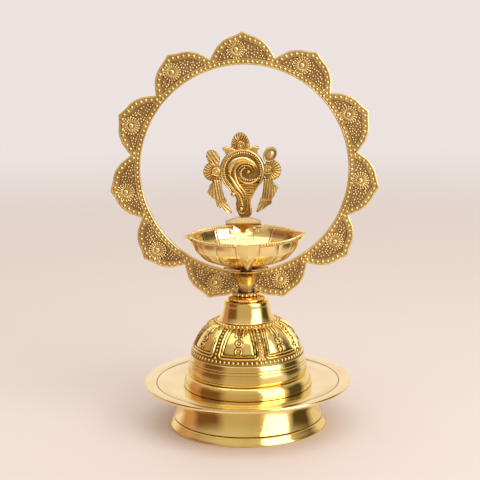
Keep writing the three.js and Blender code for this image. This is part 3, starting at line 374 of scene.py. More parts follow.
# Painted shade with old polish: crevices beside the raised work darken, and the ground round the beads
# darkens most.
dome_polish_and_shade = crevices(dome_relief, 4, 5.5) + crevices(dome_relief, 12, 2.0)
bead_ground = np.where(in_panels[:, None], np.abs(across_panel) > half_widths,
                       np.abs(dome_heights - BEAD_CHANNEL[0])[:, None] < BEAD_CHANNEL[1])
dome_polish_and_shade = np.clip(np.maximum(dome_polish_and_shade, 0.85 * bead_ground), 0.0, 1.0)

skin_radius = dome_points[:, :1] + dome_normals[:, :1] * dome_relief
skin_height = dome_points[:, 1:] + dome_normals[:, 1:] * dome_relief
dome_inner_line = [(r - DOME_WALL, h - DOME_WALL * 0.3) for r, h in smooth_line(DOME_KNOTS, 2)[:-2]]
dome_inside = [(15.5, DOME_TOP), (ROD_HOLE, DOME_TOP), (ROD_HOLE, 52.8)] + dome_inner_line[::-1]
dome_inside[-1] = (dome_inside[-1][0], DOME_KNOTS[0][1])
inner = np.array(dome_inside)
dome_radii = np.vstack([skin_radius, np.repeat(inner[:, :1], DOME_COLUMNS, 1)])
dome_levels = np.vstack([skin_height, np.repeat(inner[:, 1:], DOME_COLUMNS, 1)])
dome_shell = np.stack([dome_radii * np.sin(dome_angles), -dome_radii * np.cos(dome_angles),
                       dome_levels], -1)


def wrapped_faces(rows, columns, closed=True):
    """Four-sided faces over rows of points that close round, and close back to the first row."""
    faces = []
    for row in range(rows if closed else rows - 1):
        low = row * columns
        high = (row + 1) % rows * columns
        for i in range(columns):
            j = (i + 1) % columns
            faces.append((low + i, low + j, high + j, high + i))
    return faces


panelled_brass = turned_brass("panelled_brass", POLISHED_TINT, POLISHED_DEEP, 0.09, 0.006, OLD_POLISH_AND_SHADE)
dome = mesh_piece("lamp_dome", dome_shell.reshape(-1, 3), wrapped_faces(*dome_radii.shape), 60.0,
                  np.vstack([dome_polish_and_shade, np.zeros((len(inner), DOME_COLUMNS))]).ravel())
finish_piece(dome, panelled_brass, "base", "polished_brass", "dome")


def node_tree(name, sizes):
    """A geometry tree with its sizes as named inputs: whole numbers, lengths or directions."""
    tree = bpy.data.node_groups.new(name, "GeometryNodeTree")
    tree.interface.new_socket("Geometry", in_out="INPUT", socket_type="NodeSocketGeometry")
    for label, value in sizes.items():
        kind = {int: "NodeSocketInt", float: "NodeSocketFloat"}.get(type(value), "NodeSocketVector")
        tree.interface.new_socket(label, in_out="INPUT", socket_type=kind)
    tree.interface.new_socket("Geometry", in_out="OUTPUT", socket_type="NodeSocketGeometry")
    return tree, node(tree, "NodeGroupInput").outputs


def end_tree(tree, geometry, material, shade_smooth=True):
    """Ends a geometry tree: plain faces, their shading and their material."""
    real = node(tree, "GeometryNodeRealizeInstances", {"Geometry": geometry}).outputs["Geometry"]
    shaded = node(tree, "GeometryNodeSetShadeSmooth", {"Geometry": real, "Shade Smooth": shade_smooth})
    painted = node(tree, "GeometryNodeSetMaterial", {"Geometry": shaded.outputs["Geometry"]})
    painted.inputs["Material"].default_value = material
    node(tree, "NodeGroupOutput", {"Geometry": painted.outputs["Geometry"]})


def grown_piece(name, lines, tree, sizes, closed=True, faces=()):
    """Runs a geometry tree on lines of points, or on faces, and returns the result as a plain mesh."""
    points = []
    edges = []
    for line in lines:
        start = len(points)
        points += [tuple(np.asarray(p, float) * MM) for p in line]
        edges += [(start + i, start + i + 1) for i in range(len(line) - 1)]
        if closed:
            edges.append((len(points) - 1, start))
    seed_mesh = bpy.data.meshes.new(name + "_lines")
    seed_mesh.from_pydata(points, [] if faces else edges, list(faces))
    seed = bpy.data.objects.new(name + "_lines", seed_mesh)
    bpy.context.scene.collection.objects.link(seed)
    modifier = seed.modifiers.new(name, "NODES")
    modifier.node_group = tree
    for socket in tree.interface.items_tree:
        if socket.in_out == "INPUT" and socket.name in sizes:
            value = sizes[socket.name]
            modifier[socket.identifier] = value if isinstance(value, (int, float)) else list(value)
    graph = bpy.context.evaluated_depsgraph_get()
    mesh = bpy.data.meshes.new_from_object(seed.evaluated_get(graph), depsgraph=graph)
    mesh.name = name
    seed.modifiers.clear()
    bpy.data.objects.remove(seed)
    piece = bpy.data.objects.new(name, mesh)
    bpy.context.scene.collection.objects.link(piece)
    return piece


def facing_rotation(tree, facing, spread_out):
    """Turns what is set on a line so that X runs along it and Z away from the surface."""
    position = node(tree, "GeometryNodeInputPosition").outputs["Position"]
    flat = node(tree, "ShaderNodeVectorMath", {0: position, 1: (1.0, 1.0, 0.0)}, operation="MULTIPLY")
    unit = node(tree, "ShaderNodeVectorMath", {0: flat.outputs[0]}, operation="NORMALIZE")
    spoke = node(tree, "ShaderNodeVectorMath", {0: unit.outputs[0], "Scale": spread_out}, operation="SCALE")
    outward = node(tree, "ShaderNodeVectorMath", {0: spoke.outputs[0], 1: facing}, operation="ADD")
    away = node(tree, "FunctionNodeAlignRotationToVector", {"Vector": outward.outputs[0]}, axis="Z")
    tangent = node(tree, "GeometryNodeInputTangent").outputs["Tangent"]
    along_line = node(tree, "FunctionNodeAlignRotationToVector", {
        "Rotation": away.outputs["Rotation"], "Vector": tangent}, axis="X", pivot_axis="Z")
    return along_line.outputs["Rotation"]


BEAD_SIZES = {"Beads in a row": 40, "Bead radius": 0.001, "Bead length": 1.0, "Bead width": 1.0,
              "Bead height": 1.0, "Bead facets": 10, "Spread": 1.0, "Facing": (0.0, 0.0, 0.0)}


def bead_tree(name, material):
    """Beads set evenly along each line, squashed or stretched as its sizes say."""
    tree, sizes = node_tree(name, BEAD_SIZES)
    curve = node(tree, "GeometryNodeMeshToCurve", {"Mesh": sizes["Geometry"]}).outputs["Curve"]
    even = node(tree, "GeometryNodeResampleCurve", {"Curve": curve, "Count": sizes["Beads in a row"]})
    bead = node(tree, "GeometryNodeMeshUVSphere", {
        "Segments": sizes["Bead facets"], "Rings": 6, "Radius": sizes["Bead radius"]})
    stretch = node(tree, "ShaderNodeCombineXYZ", {
        "X": sizes["Bead length"], "Y": sizes["Bead width"], "Z": sizes["Bead height"]})
    beads = node(tree, "GeometryNodeInstanceOnPoints", {
        "Points": even.outputs["Curve"], "Instance": bead.outputs["Mesh"],
        "Rotation": facing_rotation(tree, sizes["Facing"], sizes["Spread"]),
        "Scale": stretch.outputs["Vector"]})
    end_tree(tree, beads.outputs["Instances"], material)
    return tree


def ring_line(radius, height, points=96):
    """A level ring round the lamp's axis."""
    angles = np.arange(points) * 2 * math.pi / points
    return [(radius * math.sin(a), -radius * math.cos(a), height) for a in angles]


bright_beads = turned_brass("bright_beads", (0.86, 0.64, 0.27), POLISHED_DEEP, 0.16, 0.003)
polished_bead_tree = bead_tree("polished_beads", bright_beads)
LOWER_ROW = {**BEAD_SIZES, "Beads in a row": 76, "Bead radius": 0.92 * MM, "Bead length": 0.78,
             "Bead width": 1.0, "Bead height": 0.62, "Spread": 1.0, "Facing": (0.0, 0.0, 0.25)}
lower_beads = grown_piece("dome_lower_beads", [ring_line(28.75, BEAD_CHANNEL[0])],
                          polished_bead_tree, LOWER_ROW)
finish_piece(lower_beads, None, "base", "polished_brass")

UPPER_ROW = {**BEAD_SIZES, "Beads in a row": 45, "Bead radius": 0.85 * MM, "Bead length": 0.95,
             "Bead width": 1.0, "Bead height": 0.8, "Spread": 0.6, "Facing": (0.0, 0.0, 1.0)}
upper_beads = grown_piece("dome_upper_beads", [ring_line(16.25, 55.15)], polished_bead_tree, UPPER_ROW)
finish_piece(upper_beads, None, "base", "polished_brass")

COLUMN_BEADS = {**BEAD_SIZES, "Beads in a row": 10, "Bead radius": 0.72 * MM, "Bead length": 1.05,
                "Bead width": 1.0, "Bead height": 0.8, "Spread": 1.0, "Facing": (0.0, 0.0, 0.6)}
column_rows = (dome_stations > panel_start + 0.5) & (dome_stations < panel_end - 0.4)
column_line = dome_points[column_rows] - dome_normals[column_rows] * PANEL_SINK * 0.5
column_lines = []
for panel in range(DOME_PANELS):
    angle = math.radians(PANEL_TURN) + panel_pitch * (panel + 0.5)
    column_lines.append([(r * math.sin(angle), -r * math.cos(angle), h) for r, h in column_line])
column_beads = grown_piece("dome_column_beads", column_lines, polished_bead_tree, COLUMN_BEADS, False)
finish_piece(column_beads, None, "base", "polished_brass")


# Neck. A concave spool turned from bar, with a plain ring at its top.
# The tie rod runs down through it and pulls it onto the dome's crown.

NECK_WAIST = [(14.8, 55.9), (14.4, 56.3), (13.1, 59.1), (12.2, 63.3)]
NECK_RING = [(11.75, 63.55), (11.75, 63.75), (12.05, 63.95), (12.1, 64.4), (12.0, 65.3), (11.75, 65.8),
             (11.3, 66.0)]
NECK_BORE = [(ROD_HOLE, 66.0), (ROD_HOLE, 55.9)]

neck = turned_piece("lamp_neck", smooth_line(NECK_WAIST, 7) + NECK_RING + NECK_BORE)
finish_piece(neck, polished_brass, "base", "polished_brass", "neck")


# Tie rod with its washer and nut, hidden under the foot. Plain turned brass.
# The nut pulls the foot, plate, hub, dome and neck together along the rod.

plain_brass = turned_brass("plain_turned_brass", (0.52, 0.37, 0.15), (0.30, 0.19, 0.07), 0.34, 0.020)


def keep_solid(name, material):
    """Shows a solid as it was modelled, with its finish."""
    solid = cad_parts[name]
    solid.data.materials.clear()
    solid.data.materials.append(material)


for hidden_part in ("tie_rod", "base_washer", "base_nut"):
    keep_solid(hidden_part, plain_brass)


# Collar and beaded ring. The collar is the turned ring that the rod screws into.
# The halo and cup stand on it, and the beaded ring hides the joint.

COLLAR_SIDE = [(9.6, 66.3), (10.0, 66.9), (9.2, 67.8), (8.0, 68.3)]
BEAD_RING_SIDE = [(6.35, 68.6), (6.75, 69.4), (6.35, 70.2)]
RING_BEADS = {**BEAD_SIZES, "Beads in a row": 19, "Bead radius": 0.98 * MM, "Bead length": 0.95,
              "Bead width": 0.85, "Bead height": 0.85, "Spread": 1.0, "Facing": (0.0, 0.0, 0.0)}

collar = turned_piece("lamp_collar", smooth_line(COLLAR_SIDE, 5) + [(ROD_HOLE, 68.3), (ROD_HOLE, 66.3)], 96)
finish_piece(collar, polished_brass, "upper", "polished_brass", "seat_collar")
ring_core = turned_piece("bead_ring_core", smooth_line(BEAD_RING_SIDE, 4)
                         + [(ROD_HOLE, 70.2), (ROD_HOLE, 68.6)], 72)
finish_piece(ring_core, plain_brass, "upper", "antique_brass", "bead_ring")
ring_beads = grown_piece("bead_ring_beads", [ring_line(6.85, 69.4)], polished_bead_tree, RING_BEADS)
finish_piece(ring_beads, None, "upper", "antique_brass")


# Cup stem. A turned trumpet that opens into a small cup, with a slot sawn across it.
# The halo plate drops into the slot, and the cup catches what drips from the bowl.

STEM_SIDE = [(4.4, 70.5), (4.7, 73.55), (5.85, 76.4), (8.2, 79.65), (11.5, 82.05)]
CUP_LIP = [(11.85, 82.25), (11.9, 82.5), (11.6, 82.72), (11.15, 82.7), (10.85, 82.35)]
CUP_WALL = 0.9
CUP_FLOOR = 76.7
SLOT_WIDTH = 5.1
SLOT_FLOOR = 71.5
CUP_INSIDE_SHADE = (0.30, 0.10, 0.035)


def cut_from(piece, cutter, operation="DIFFERENCE"):
    """Cuts one mesh with another, or joins them, and drops the cutter."""
    boolean = piece.modifiers.new("cut", "BOOLEAN")
    boolean.operation = operation
    boolean.solver = "EXACT"
    boolean.object = cutter
    graph = bpy.context.evaluated_depsgraph_get()
    mesh = bpy.data.meshes.new_from_object(piece.evaluated_get(graph), depsgraph=graph)
    piece.modifiers.clear()
    piece.data = mesh
    bpy.data.objects.remove(cutter)
    return piece


def block_piece(name, low, high):
    corners = [(x, y, z) for x in (low[0], high[0]) for y in (low[1], high[1]) for z in (low[2], high[2])]
    faces = [(0, 1, 3, 2), (4, 6, 7, 5), (0, 4, 5, 1), (2, 3, 7, 6), (0, 2, 6, 4), (1, 5, 7, 3)]
    return mesh_piece(name, corners, faces)


def cup_brass():
    """Bright brass outside and on the lip, with painted shade in dark red-brown inside the cup."""
    material, tree, place = brass_tree("cup_brass")
    parts = node(tree, "ShaderNodeSeparateXYZ", {"Vector": place})
    flat = node(tree, "ShaderNodeCombineXYZ", {"X": parts.outputs["X"], "Y": parts.outputs["Y"]})
    radius = node(tree, "ShaderNodeVectorMath", {0: flat.outputs["Vector"]}, operation="LENGTH")
    wall = node(tree, "ShaderNodeMapRange", {
        "Value": parts.outputs["Z"], "From Min": 76.4 * MM, "From Max": 82.4 * MM,
        "To Min": 5.3 * MM, "To Max": 11.2 * MM}, interpolation_type="SMOOTHSTEP")
    inward = node(tree, "ShaderNodeMath", {
        0: wall.outputs["Result"], 1: radius.outputs["Value"]}, operation="SUBTRACT")
    inside = spread(tree, inward.outputs["Value"], 0.0, 0.0012, 0.0, 1.0)
    spots = node(tree, "ShaderNodeTexNoise", {"Vector": place, "Scale": 500.0, "Detail": 3.0})
    cloud = node(tree, "ShaderNodeTexNoise", {"Vector": place, "Scale": 90.0, "Detail": 4.0})
    rosy = spread(tree, cloud.outputs["Fac"], 0.45, 0.7, 0.0, 0.8)
    outside = blended(tree, rosy, (0.82, 0.60, 0.24), (0.60, 0.33, 0.17))
    # Painted shade: the cup's inside is coloured dark red-brown.
    colour = blended(tree, inside, outside, CUP_INSIDE_SHADE)
    roughness = spread(tree, spots.outputs["Fac"], 0.35, 0.75, 0.16, 0.34)
    brass_surface(tree, colour, roughness, spots.outputs["Fac"], 0.03 * MM)
    return material


stem_inside = [(r - CUP_WALL, h) for r, h in smooth_line(STEM_SIDE, 6) if h > CUP_FLOOR + 1.0][::-1]
stem_profile = [(0.0, 70.5)] + smooth_line(STEM_SIDE, 6) + CUP_LIP + stem_inside
cup_stem = turned_piece("lamp_cup_stem", stem_profile + [(4.2, CUP_FLOOR), (0.0, CUP_FLOOR)], 128)
slot_cutter = block_piece("slot_cutter", (-20.0, -SLOT_WIDTH / 2, SLOT_FLOOR), (20.0, SLOT_WIDTH / 2, 90.0))
cut_from(cup_stem, slot_cutter)
finish_piece(cup_stem, cup_brass(), "upper", "polished_brass", "cup_stem")


# Halo plate. A cast ring of eleven pointed petals that drops into the cup's slot.
# Its front has beaded borders round a sunk, granulated field with a rosette in each petal.
# The raised work is polished bright, and the recesses are darkened with old polish and painted shade.

HALO_CENTRE = 133.9
HALO_INNER_RADIUS = 52.9
HALO_HALF_THICKNESS = 2.25
HALO_PETALS = 11
HALO_COLUMNS = 88
HALO_RADII = [69.3, 67.9, 67.3, 66.6, 65.5, 64.7, 63.0, 61.7, 59.7, 58.0]
HALO_RADIUS_ANGLES = [0.0, 2.5, 4.0, 6.3, 8.7, 9.7, 12.0, 13.0, 14.9, 16.36]
HALO_INNER_STEPS = [(0.0, 0.35), (0.08, 0.12), (0.25, 0.0), (0.62, 0.0), (0.74, 0.08), (0.82, 0.45),
                    (2.4, 0.45), (2.52, 0.25), (2.66, 0.16), (2.95, 0.16), (3.08, 0.3), (3.15, 0.72)]
HALO_OUTER_STEPS = [(3.6, 0.72), (3.5, 0.3), (3.38, 0.14), (3.1, 0.14), (3.0, 0.3), (2.92, 0.42),
                    (1.02, 0.42), (0.94, 0.1), (0.84, 0.0), (0.3, 0.0), (0.12, 0.08), (0.0, 0.3)]
HALO_BACK_ROUND = 0.5
SLOPE_LIMIT = 1.45
TANG_LOW = (-3.0, -2.25, 71.8)
TANG_HIGH = (3.0, 2.25, 81.6)
HALO_SEATS = [(0.0, 50.0), (10.3, 50.0), (10.3, 68.6), (7.3, 68.6), (7.3, 70.5), (5.2, 70.5),
              (5.2, 71.8), (0.0, 71.8)]
HALO_SCREW_HOLE = [(0.0, 75.2), (1.5, 75.2), (1.5, 90.0), (0.0, 90.0)]
ANTIQUE_BRIGHT = (0.92, 0.72, 0.33)
ANTIQUE_SHADE = (0.74, 0.52, 0.21)
ANTIQUE_DARK = (0.36, 0.21, 0.10)


def halo_outline(angles):
    """The outline's radius at angles in radians from the top, and how much it slopes there."""
    pitch = 360.0 / HALO_PETALS
    from_tip = np.abs((np.degrees(angles) + pitch / 2) % pitch - pitch / 2)
    radius = np.interp(from_tip, HALO_RADIUS_ANGLES, HALO_RADII)
    kernel = np.array([1, 2, 1]) / 4.0
    padded = np.r_[radius[-1], radius, radius[0]]
    radius = np.convolve(padded, kernel, "valid")
    change = (np.roll(radius, -1) - np.roll(radius, 1)) / (2 * (angles[1] - angles[0]))
    slope = np.minimum(np.hypot(1.0, change / radius), SLOPE_LIMIT)
    soft = np.convolve(np.r_[slope[-2:], slope, slope[:2]], np.ones(5) / 5, "valid")
    return radius, soft


def cast_brass(name, deep_at=None, turned_by=0.0, gloss=0.24, dark=ANTIQUE_DARK):
    """Cast brass, bright where it was polished, with brown old polish and painted shade in its recesses and a
    pitted skin.
    """
    material, tree, place = brass_tree(name)
    cloud = node(tree, "ShaderNodeTexNoise", {"Vector": place, "Scale": 160.0, "Detail": 5.0})
    skin = node(tree, "ShaderNodeTexNoise", {"Vector": place, "Scale": 1400.0, "Detail": 5.0})
    worn = spread(tree, cloud.outputs["Fac"], 0.40, 0.70, 0.0, 0.9)
    colour = blended(tree, worn, ANTIQUE_BRIGHT, ANTIQUE_SHADE)
    # The recess attribute, or else a range along Y, says where old polish and painted shade darken the
    # colour: towards the back of raised work, where it meets its ground.
    if deep_at is None:
        depth = node(tree, "ShaderNodeAttribute", attribute_name="polish_and_shade").outputs["Fac"]
    else:
        turned = node(tree, "ShaderNodeVectorRotate", {
            "Vector": place, "Angle": -math.radians(turned_by)}, rotation_type="Z_AXIS")
        level = node(tree, "ShaderNodeSeparateXYZ", {"Vector": turned.outputs["Vector"]}).outputs["Y"]
        depth = spread(tree, level, deep_at[0] * MM, deep_at[1] * MM, 0.0, 1.0)
    ragged = node(tree, "ShaderNodeMath", {0: cloud.outputs["Fac"], 1: 0.5, 2: -0.25},
                  operation="MULTIPLY_ADD")
    uneven = node(tree, "ShaderNodeMath", {0: depth, 1: ragged.outputs["Value"]}, operation="ADD",
                  use_clamp=True)
    # Old polish and painted shade darken the recesses towards the dark tint.
    colour = blended(tree, uneven.outputs["Value"], colour, dark)
    dull = node(tree, "ShaderNodeMath", {0: uneven.outputs["Value"], 1: 0.25, 2: gloss},
                operation="MULTIPLY_ADD")
    brass_surface(tree, colour, dull.outputs["Value"], skin.outputs["Fac"], 0.05 * MM)
    return material


halo_steps = HALO_COLUMNS * HALO_PETALS
halo_angles = np.arange(halo_steps) * 2 * math.pi / halo_steps
halo_radius, halo_slope = halo_outline(halo_angles)
halo_rows = []
for offset, depth in HALO_INNER_STEPS:
    halo_rows.append((np.full(halo_steps, HALO_INNER_RADIUS + offset), -HALO_HALF_THICKNESS + depth))
for inset, depth in HALO_OUTER_STEPS:
    halo_rows.append((halo_radius - inset * halo_slope, -HALO_HALF_THICKNESS + depth))
halo_back = HALO_HALF_THICKNESS
for inset, lift in ((0.0, HALO_BACK_ROUND), (0.15, 0.15), (HALO_BACK_ROUND, 0.0)):
    halo_rows.append((halo_radius - inset * halo_slope, halo_back - lift))
for offset, lift in ((HALO_BACK_ROUND, 0.0), (0.15, 0.15), (0.0, HALO_BACK_ROUND)):
    halo_rows.append((np.full(halo_steps, HALO_INNER_RADIUS + offset), halo_back - lift))
halo_points = np.array([np.stack([radius * np.sin(halo_angles), np.full(halo_steps, depth),
                                  HALO_CENTRE + radius * np.cos(halo_angles)], -1)
                        for radius, depth in halo_rows])
plate_depths = [depth for _, depth in HALO_INNER_STEPS + HALO_OUTER_STEPS] + [0.0] * 6
# Old polish and painted shade: the deeper a step lies below the front, the darker it is coloured.
plate_polish_and_shade = np.repeat(np.clip(np.array(plate_depths) * 1.5 - 0.1, 0, 1), halo_steps)

antique_plate_brass = cast_brass("antique_plate_brass")
halo_plate = mesh_piece("lamp_halo_plate", halo_points.reshape(-1, 3),
                        wrapped_faces(len(halo_rows), halo_steps), 30.0, plate_polish_and_shade)
cut_from(halo_plate, block_piece("halo_tang", TANG_LOW, TANG_HIGH), "UNION")
cut_from(halo_plate, turned_piece("halo_seat_cutter", HALO_SEATS, 64))
cut_from(halo_plate, turned_piece("halo_screw_cutter", HALO_SCREW_HOLE, 24))
finish_piece(halo_plate, antique_plate_brass, "upper", "antique_brass", "halo_plate")

BEAD_LEVEL = -1.95
INNER_BEAD_OFFSET = 1.6
OUTER_BEAD_INSET = 1.97
INNER_BEADS = {**BEAD_SIZES, "Beads in a row": 143, "Bead radius": 0.84 * MM, "Bead length": 1.0,
               "Bead width": 1.0, "Bead height": 0.85, "Spread": 0.0, "Facing": (0.0, -1.0, 0.0)}
OUTER_BEADS = {**INNER_BEADS, "Beads in a row": 16, "Bead radius": 0.86 * MM}

# Painted shade: each bead darkens towards its back, where it sits on the plate.
halo_bead_brass = cast_brass("halo_bead_brass", (-2.25, -1.75), 0.0, 0.18)
halo_bead_tree = bead_tree("halo_beads", halo_bead_brass)


def halo_circle(radius, level, across=0.0, up=0.0, points=96):
    """A circle that faces forwards, round a point measured from the halo's centre."""
    angles = np.arange(points) * 2 * math.pi / points
    return [(across + radius * math.sin(a), level, HALO_CENTRE + up + radius * math.cos(a))
            for a in angles]


inner_bead_line = halo_circle(HALO_INNER_RADIUS + INNER_BEAD_OFFSET, BEAD_LEVEL, points=286)
inner_beads = grown_piece("halo_inner_beads", [inner_bead_line], halo_bead_tree, INNER_BEADS)
finish_piece(inner_beads, None, "upper", "antique_brass")

bead_radius_line = halo_radius - OUTER_BEAD_INSET * halo_slope
half_gap = 0.042
outer_bead_lines = []
for petal in range(HALO_PETALS):
    middle = petal * 2 * math.pi / HALO_PETALS
    edge = math.pi / HALO_PETALS - half_gap / 2
    petal_angles = np.linspace(middle - edge, middle + edge, 61)
    petal_radii = np.interp(petal_angles % (2 * math.pi), np.r_[halo_angles, 2 * math.pi],
                            np.r_[bead_radius_line, bead_radius_line[0]])
    outer_bead_lines.append([(r * math.sin(a), BEAD_LEVEL, HALO_CENTRE + r * math.cos(a))
                             for r, a in zip(petal_radii, petal_angles)])
outer_beads = grown_piece("halo_outer_beads", outer_bead_lines, halo_bead_tree, OUTER_BEADS, False)
finish_piece(outer_beads, None, "upper", "antique_brass")

ROSETTE_PLACE = 60.4
ROSETTE_TURN = -2.0
ROSETTE_SHIFT = -1.2
ROSETTE_LEVEL = -1.74
ROSETTE_BED = -1.53
ROSETTE_CLEAR = 4.9
STROKES = {**BEAD_SIZES, "Beads in a row": 20, "Bead radius": 0.44 * MM, "Bead length": 0.70,
           "Bead width": 3.1, "Bead height": 1.0, "Spread": 0.0, "Facing": (0.0, -1.0, 0.0)}
KNOBS = {**STROKES, "Bead radius": 0.54 * MM, "Bead length": 1.0, "Bead width": 1.15}
BOSSES = {**STROKES, "Beads in a row": 1, "Bead radius": 1.35 * MM, "Bead length": 1.0,
          "Bead width": 1.0, "Bead height": 0.42, "Bead facets": 24}
DISCS = {**BOSSES, "Bead radius": 4.9 * MM, "Bead height": 0.055, "Bead facets": 40}

rosette_places = []
for petal in range(HALO_PETALS):
    angle = petal * 2 * math.pi / HALO_PETALS + math.radians(ROSETTE_TURN)
    rosette_places.append((ROSETTE_PLACE * math.sin(angle) + ROSETTE_SHIFT,
                           ROSETTE_PLACE * math.cos(angle)))
# Painted shade: the rosette work darkens towards its back and its bed, where it sits on the plate.
rosette_brass = cast_brass("rosette_brass", (-2.08, -1.66), 0.0, 0.22)
rosette_tree = bead_tree("rosette_work", rosette_brass)
stroke_lines = [halo_circle(2.75, ROSETTE_LEVEL, x, z, 40) for x, z in rosette_places]
knob_lines = [halo_circle(4.2, ROSETTE_LEVEL, x, z, 40) for x, z in rosette_places]
boss_lines = [halo_circle(0.01, ROSETTE_LEVEL, x, z, 3) for x, z in rosette_places]
strokes = grown_piece("rosette_strokes", stroke_lines, rosette_tree, STROKES)
finish_piece(strokes, None, "upper", "antique_brass")
knobs = grown_piece("rosette_knobs", knob_lines, rosette_tree, KNOBS)
finish_piece(knobs, None, "upper", "antique_brass")
disc_lines = [halo_circle(0.01, ROSETTE_BED, x, z, 3) for x, z in rosette_places]
discs = grown_piece("rosette_beds", disc_lines, rosette_tree, DISCS)
finish_piece(discs, None, "upper", "antique_brass")
bosses = grown_piece("rosette_bosses", boss_lines, rosette_tree, BOSSES)
finish_piece(bosses, None, "upper", "antique_brass")

GRANULE_SIZES = {"Granule radius": 0.58 * MM, "Granule spacing": 1.14 * MM, "Granules per area": 2.6e6,
                 "Seed": 4}
FIELD_LEVEL = -1.62


def granule_tree(name, material):
    """Small grains scattered over faces, never closer than their spacing, from a fixed seed."""
    tree, sizes = node_tree(name, GRANULE_SIZES)
    scatter = node(tree, "GeometryNodeDistributePointsOnFaces", {
        "Mesh": sizes["Geometry"], "Distance Min": sizes["Granule spacing"],
        "Density Max": sizes["Granules per area"], "Seed": sizes["Seed"]},
        distribute_method="POISSON")
    grain = node(tree, "GeometryNodeMeshUVSphere", {
        "Segments": 6, "Rings": 4, "Radius": sizes["Granule radius"]})
    varied = node(tree, "FunctionNodeRandomValue", {2: 0.75, 3: 1.12, "Seed": sizes["Seed"]},
                  data_type="FLOAT")
    grains = node(tree, "GeometryNodeInstanceOnPoints", {
        "Points": scatter.outputs["Points"], "Instance": grain.outputs["Mesh"],
        "Scale": varied.outputs[1]})
    end_tree(tree, grains.outputs["Instances"], material)
    return tree


field_points = []
field_faces = []
field_rings = np.linspace(0.0, 1.0, 9)
for i in range(0, halo_steps, 4):
    near = [i, (i + 4) % halo_steps]
    corners = []
    for k in near:
        low = HALO_INNER_RADIUS + 3.75
        high = halo_radius[k] - 4.2 * halo_slope[k]
        corners.append([(low + (high - low) * t, halo_angles[k]) for t in field_rings])
    if corners[0][-1][0] < HALO_INNER_RADIUS + 4.0:
        continue
    for first, second in zip(range(8), range(1, 9)):
        quad = [corners[0][first], corners[1][first], corners[1][second], corners[0][second]]
        places = [(r * math.sin(a), r * math.cos(a)) for r, a in quad]
        middle = np.mean(places, 0)
        if min(math.dist(middle, rosette) for rosette in rosette_places) > ROSETTE_CLEAR + 0.3:
            start = len(field_points)
            field_points += [(x, FIELD_LEVEL, HALO_CENTRE + z) for x, z in places]
            field_faces.append(tuple(range(start, start + 4)))
# Painted shade: each granule darkens towards its foot on the field.
granule_brass = cast_brass("halo_granule_brass", (-1.98, -1.62), 0.0, 0.18)
granules = grown_piece("halo_granules", [field_points], granule_tree("halo_granules", granule_brass),
                       GRANULE_SIZES, True, field_faces)
finish_piece(granules, None, "upper", "antique_brass")


# Bowl spacer and screw. A short turned sleeve lifts the bowl off the halo's lower edge.
# The screw goes down through the bowl and the sleeve into the tapped halo plate.

keep_solid("bowl_spacer", plain_brass)
keep_solid("bowl_screw", plain_brass)


# Bowl. A thin cast bowl for oil, burnished pale, with panels between its creases that are flat inside.
# Four pointed spouts hold the wicks, and the front one stands on a keel down the wall.

BOWL_TURN = 2.4
BOWL_RIM = 98.7
BOWL_FLOOR = 85.6
BOWL_SECTION = [(28.3, 0.0), (27.49, -3.2), (25.6, -6.4), (20.3, -10.9), (12.9, -13.1)]
BOWL_DEPTH = 13.1
BOWL_WALL = 1.4
SPOUT_REACH = 4.1
SPOUT_HALF_ANGLE = 12.0
SPOUT_LIP_HEIGHT = 1.5
SPOUT_DROP = 4.6
BEAK_PROUD = 2.6
BEAK_TAPER = 0.7
PANEL_WIDTH = 22.0
PANEL_BULGE = 0.30
PANEL_CHORD = 0.42
SPOUT_SWEEP = 22.0
CREASE_DEPTH = 0.22
CREASE_HALF_WIDTH = 0.9
LOBE_PROUD = 0.38
BOWL_COLUMNS = 720

bowl_line = np.array(smooth_line(BOWL_SECTION, 40))


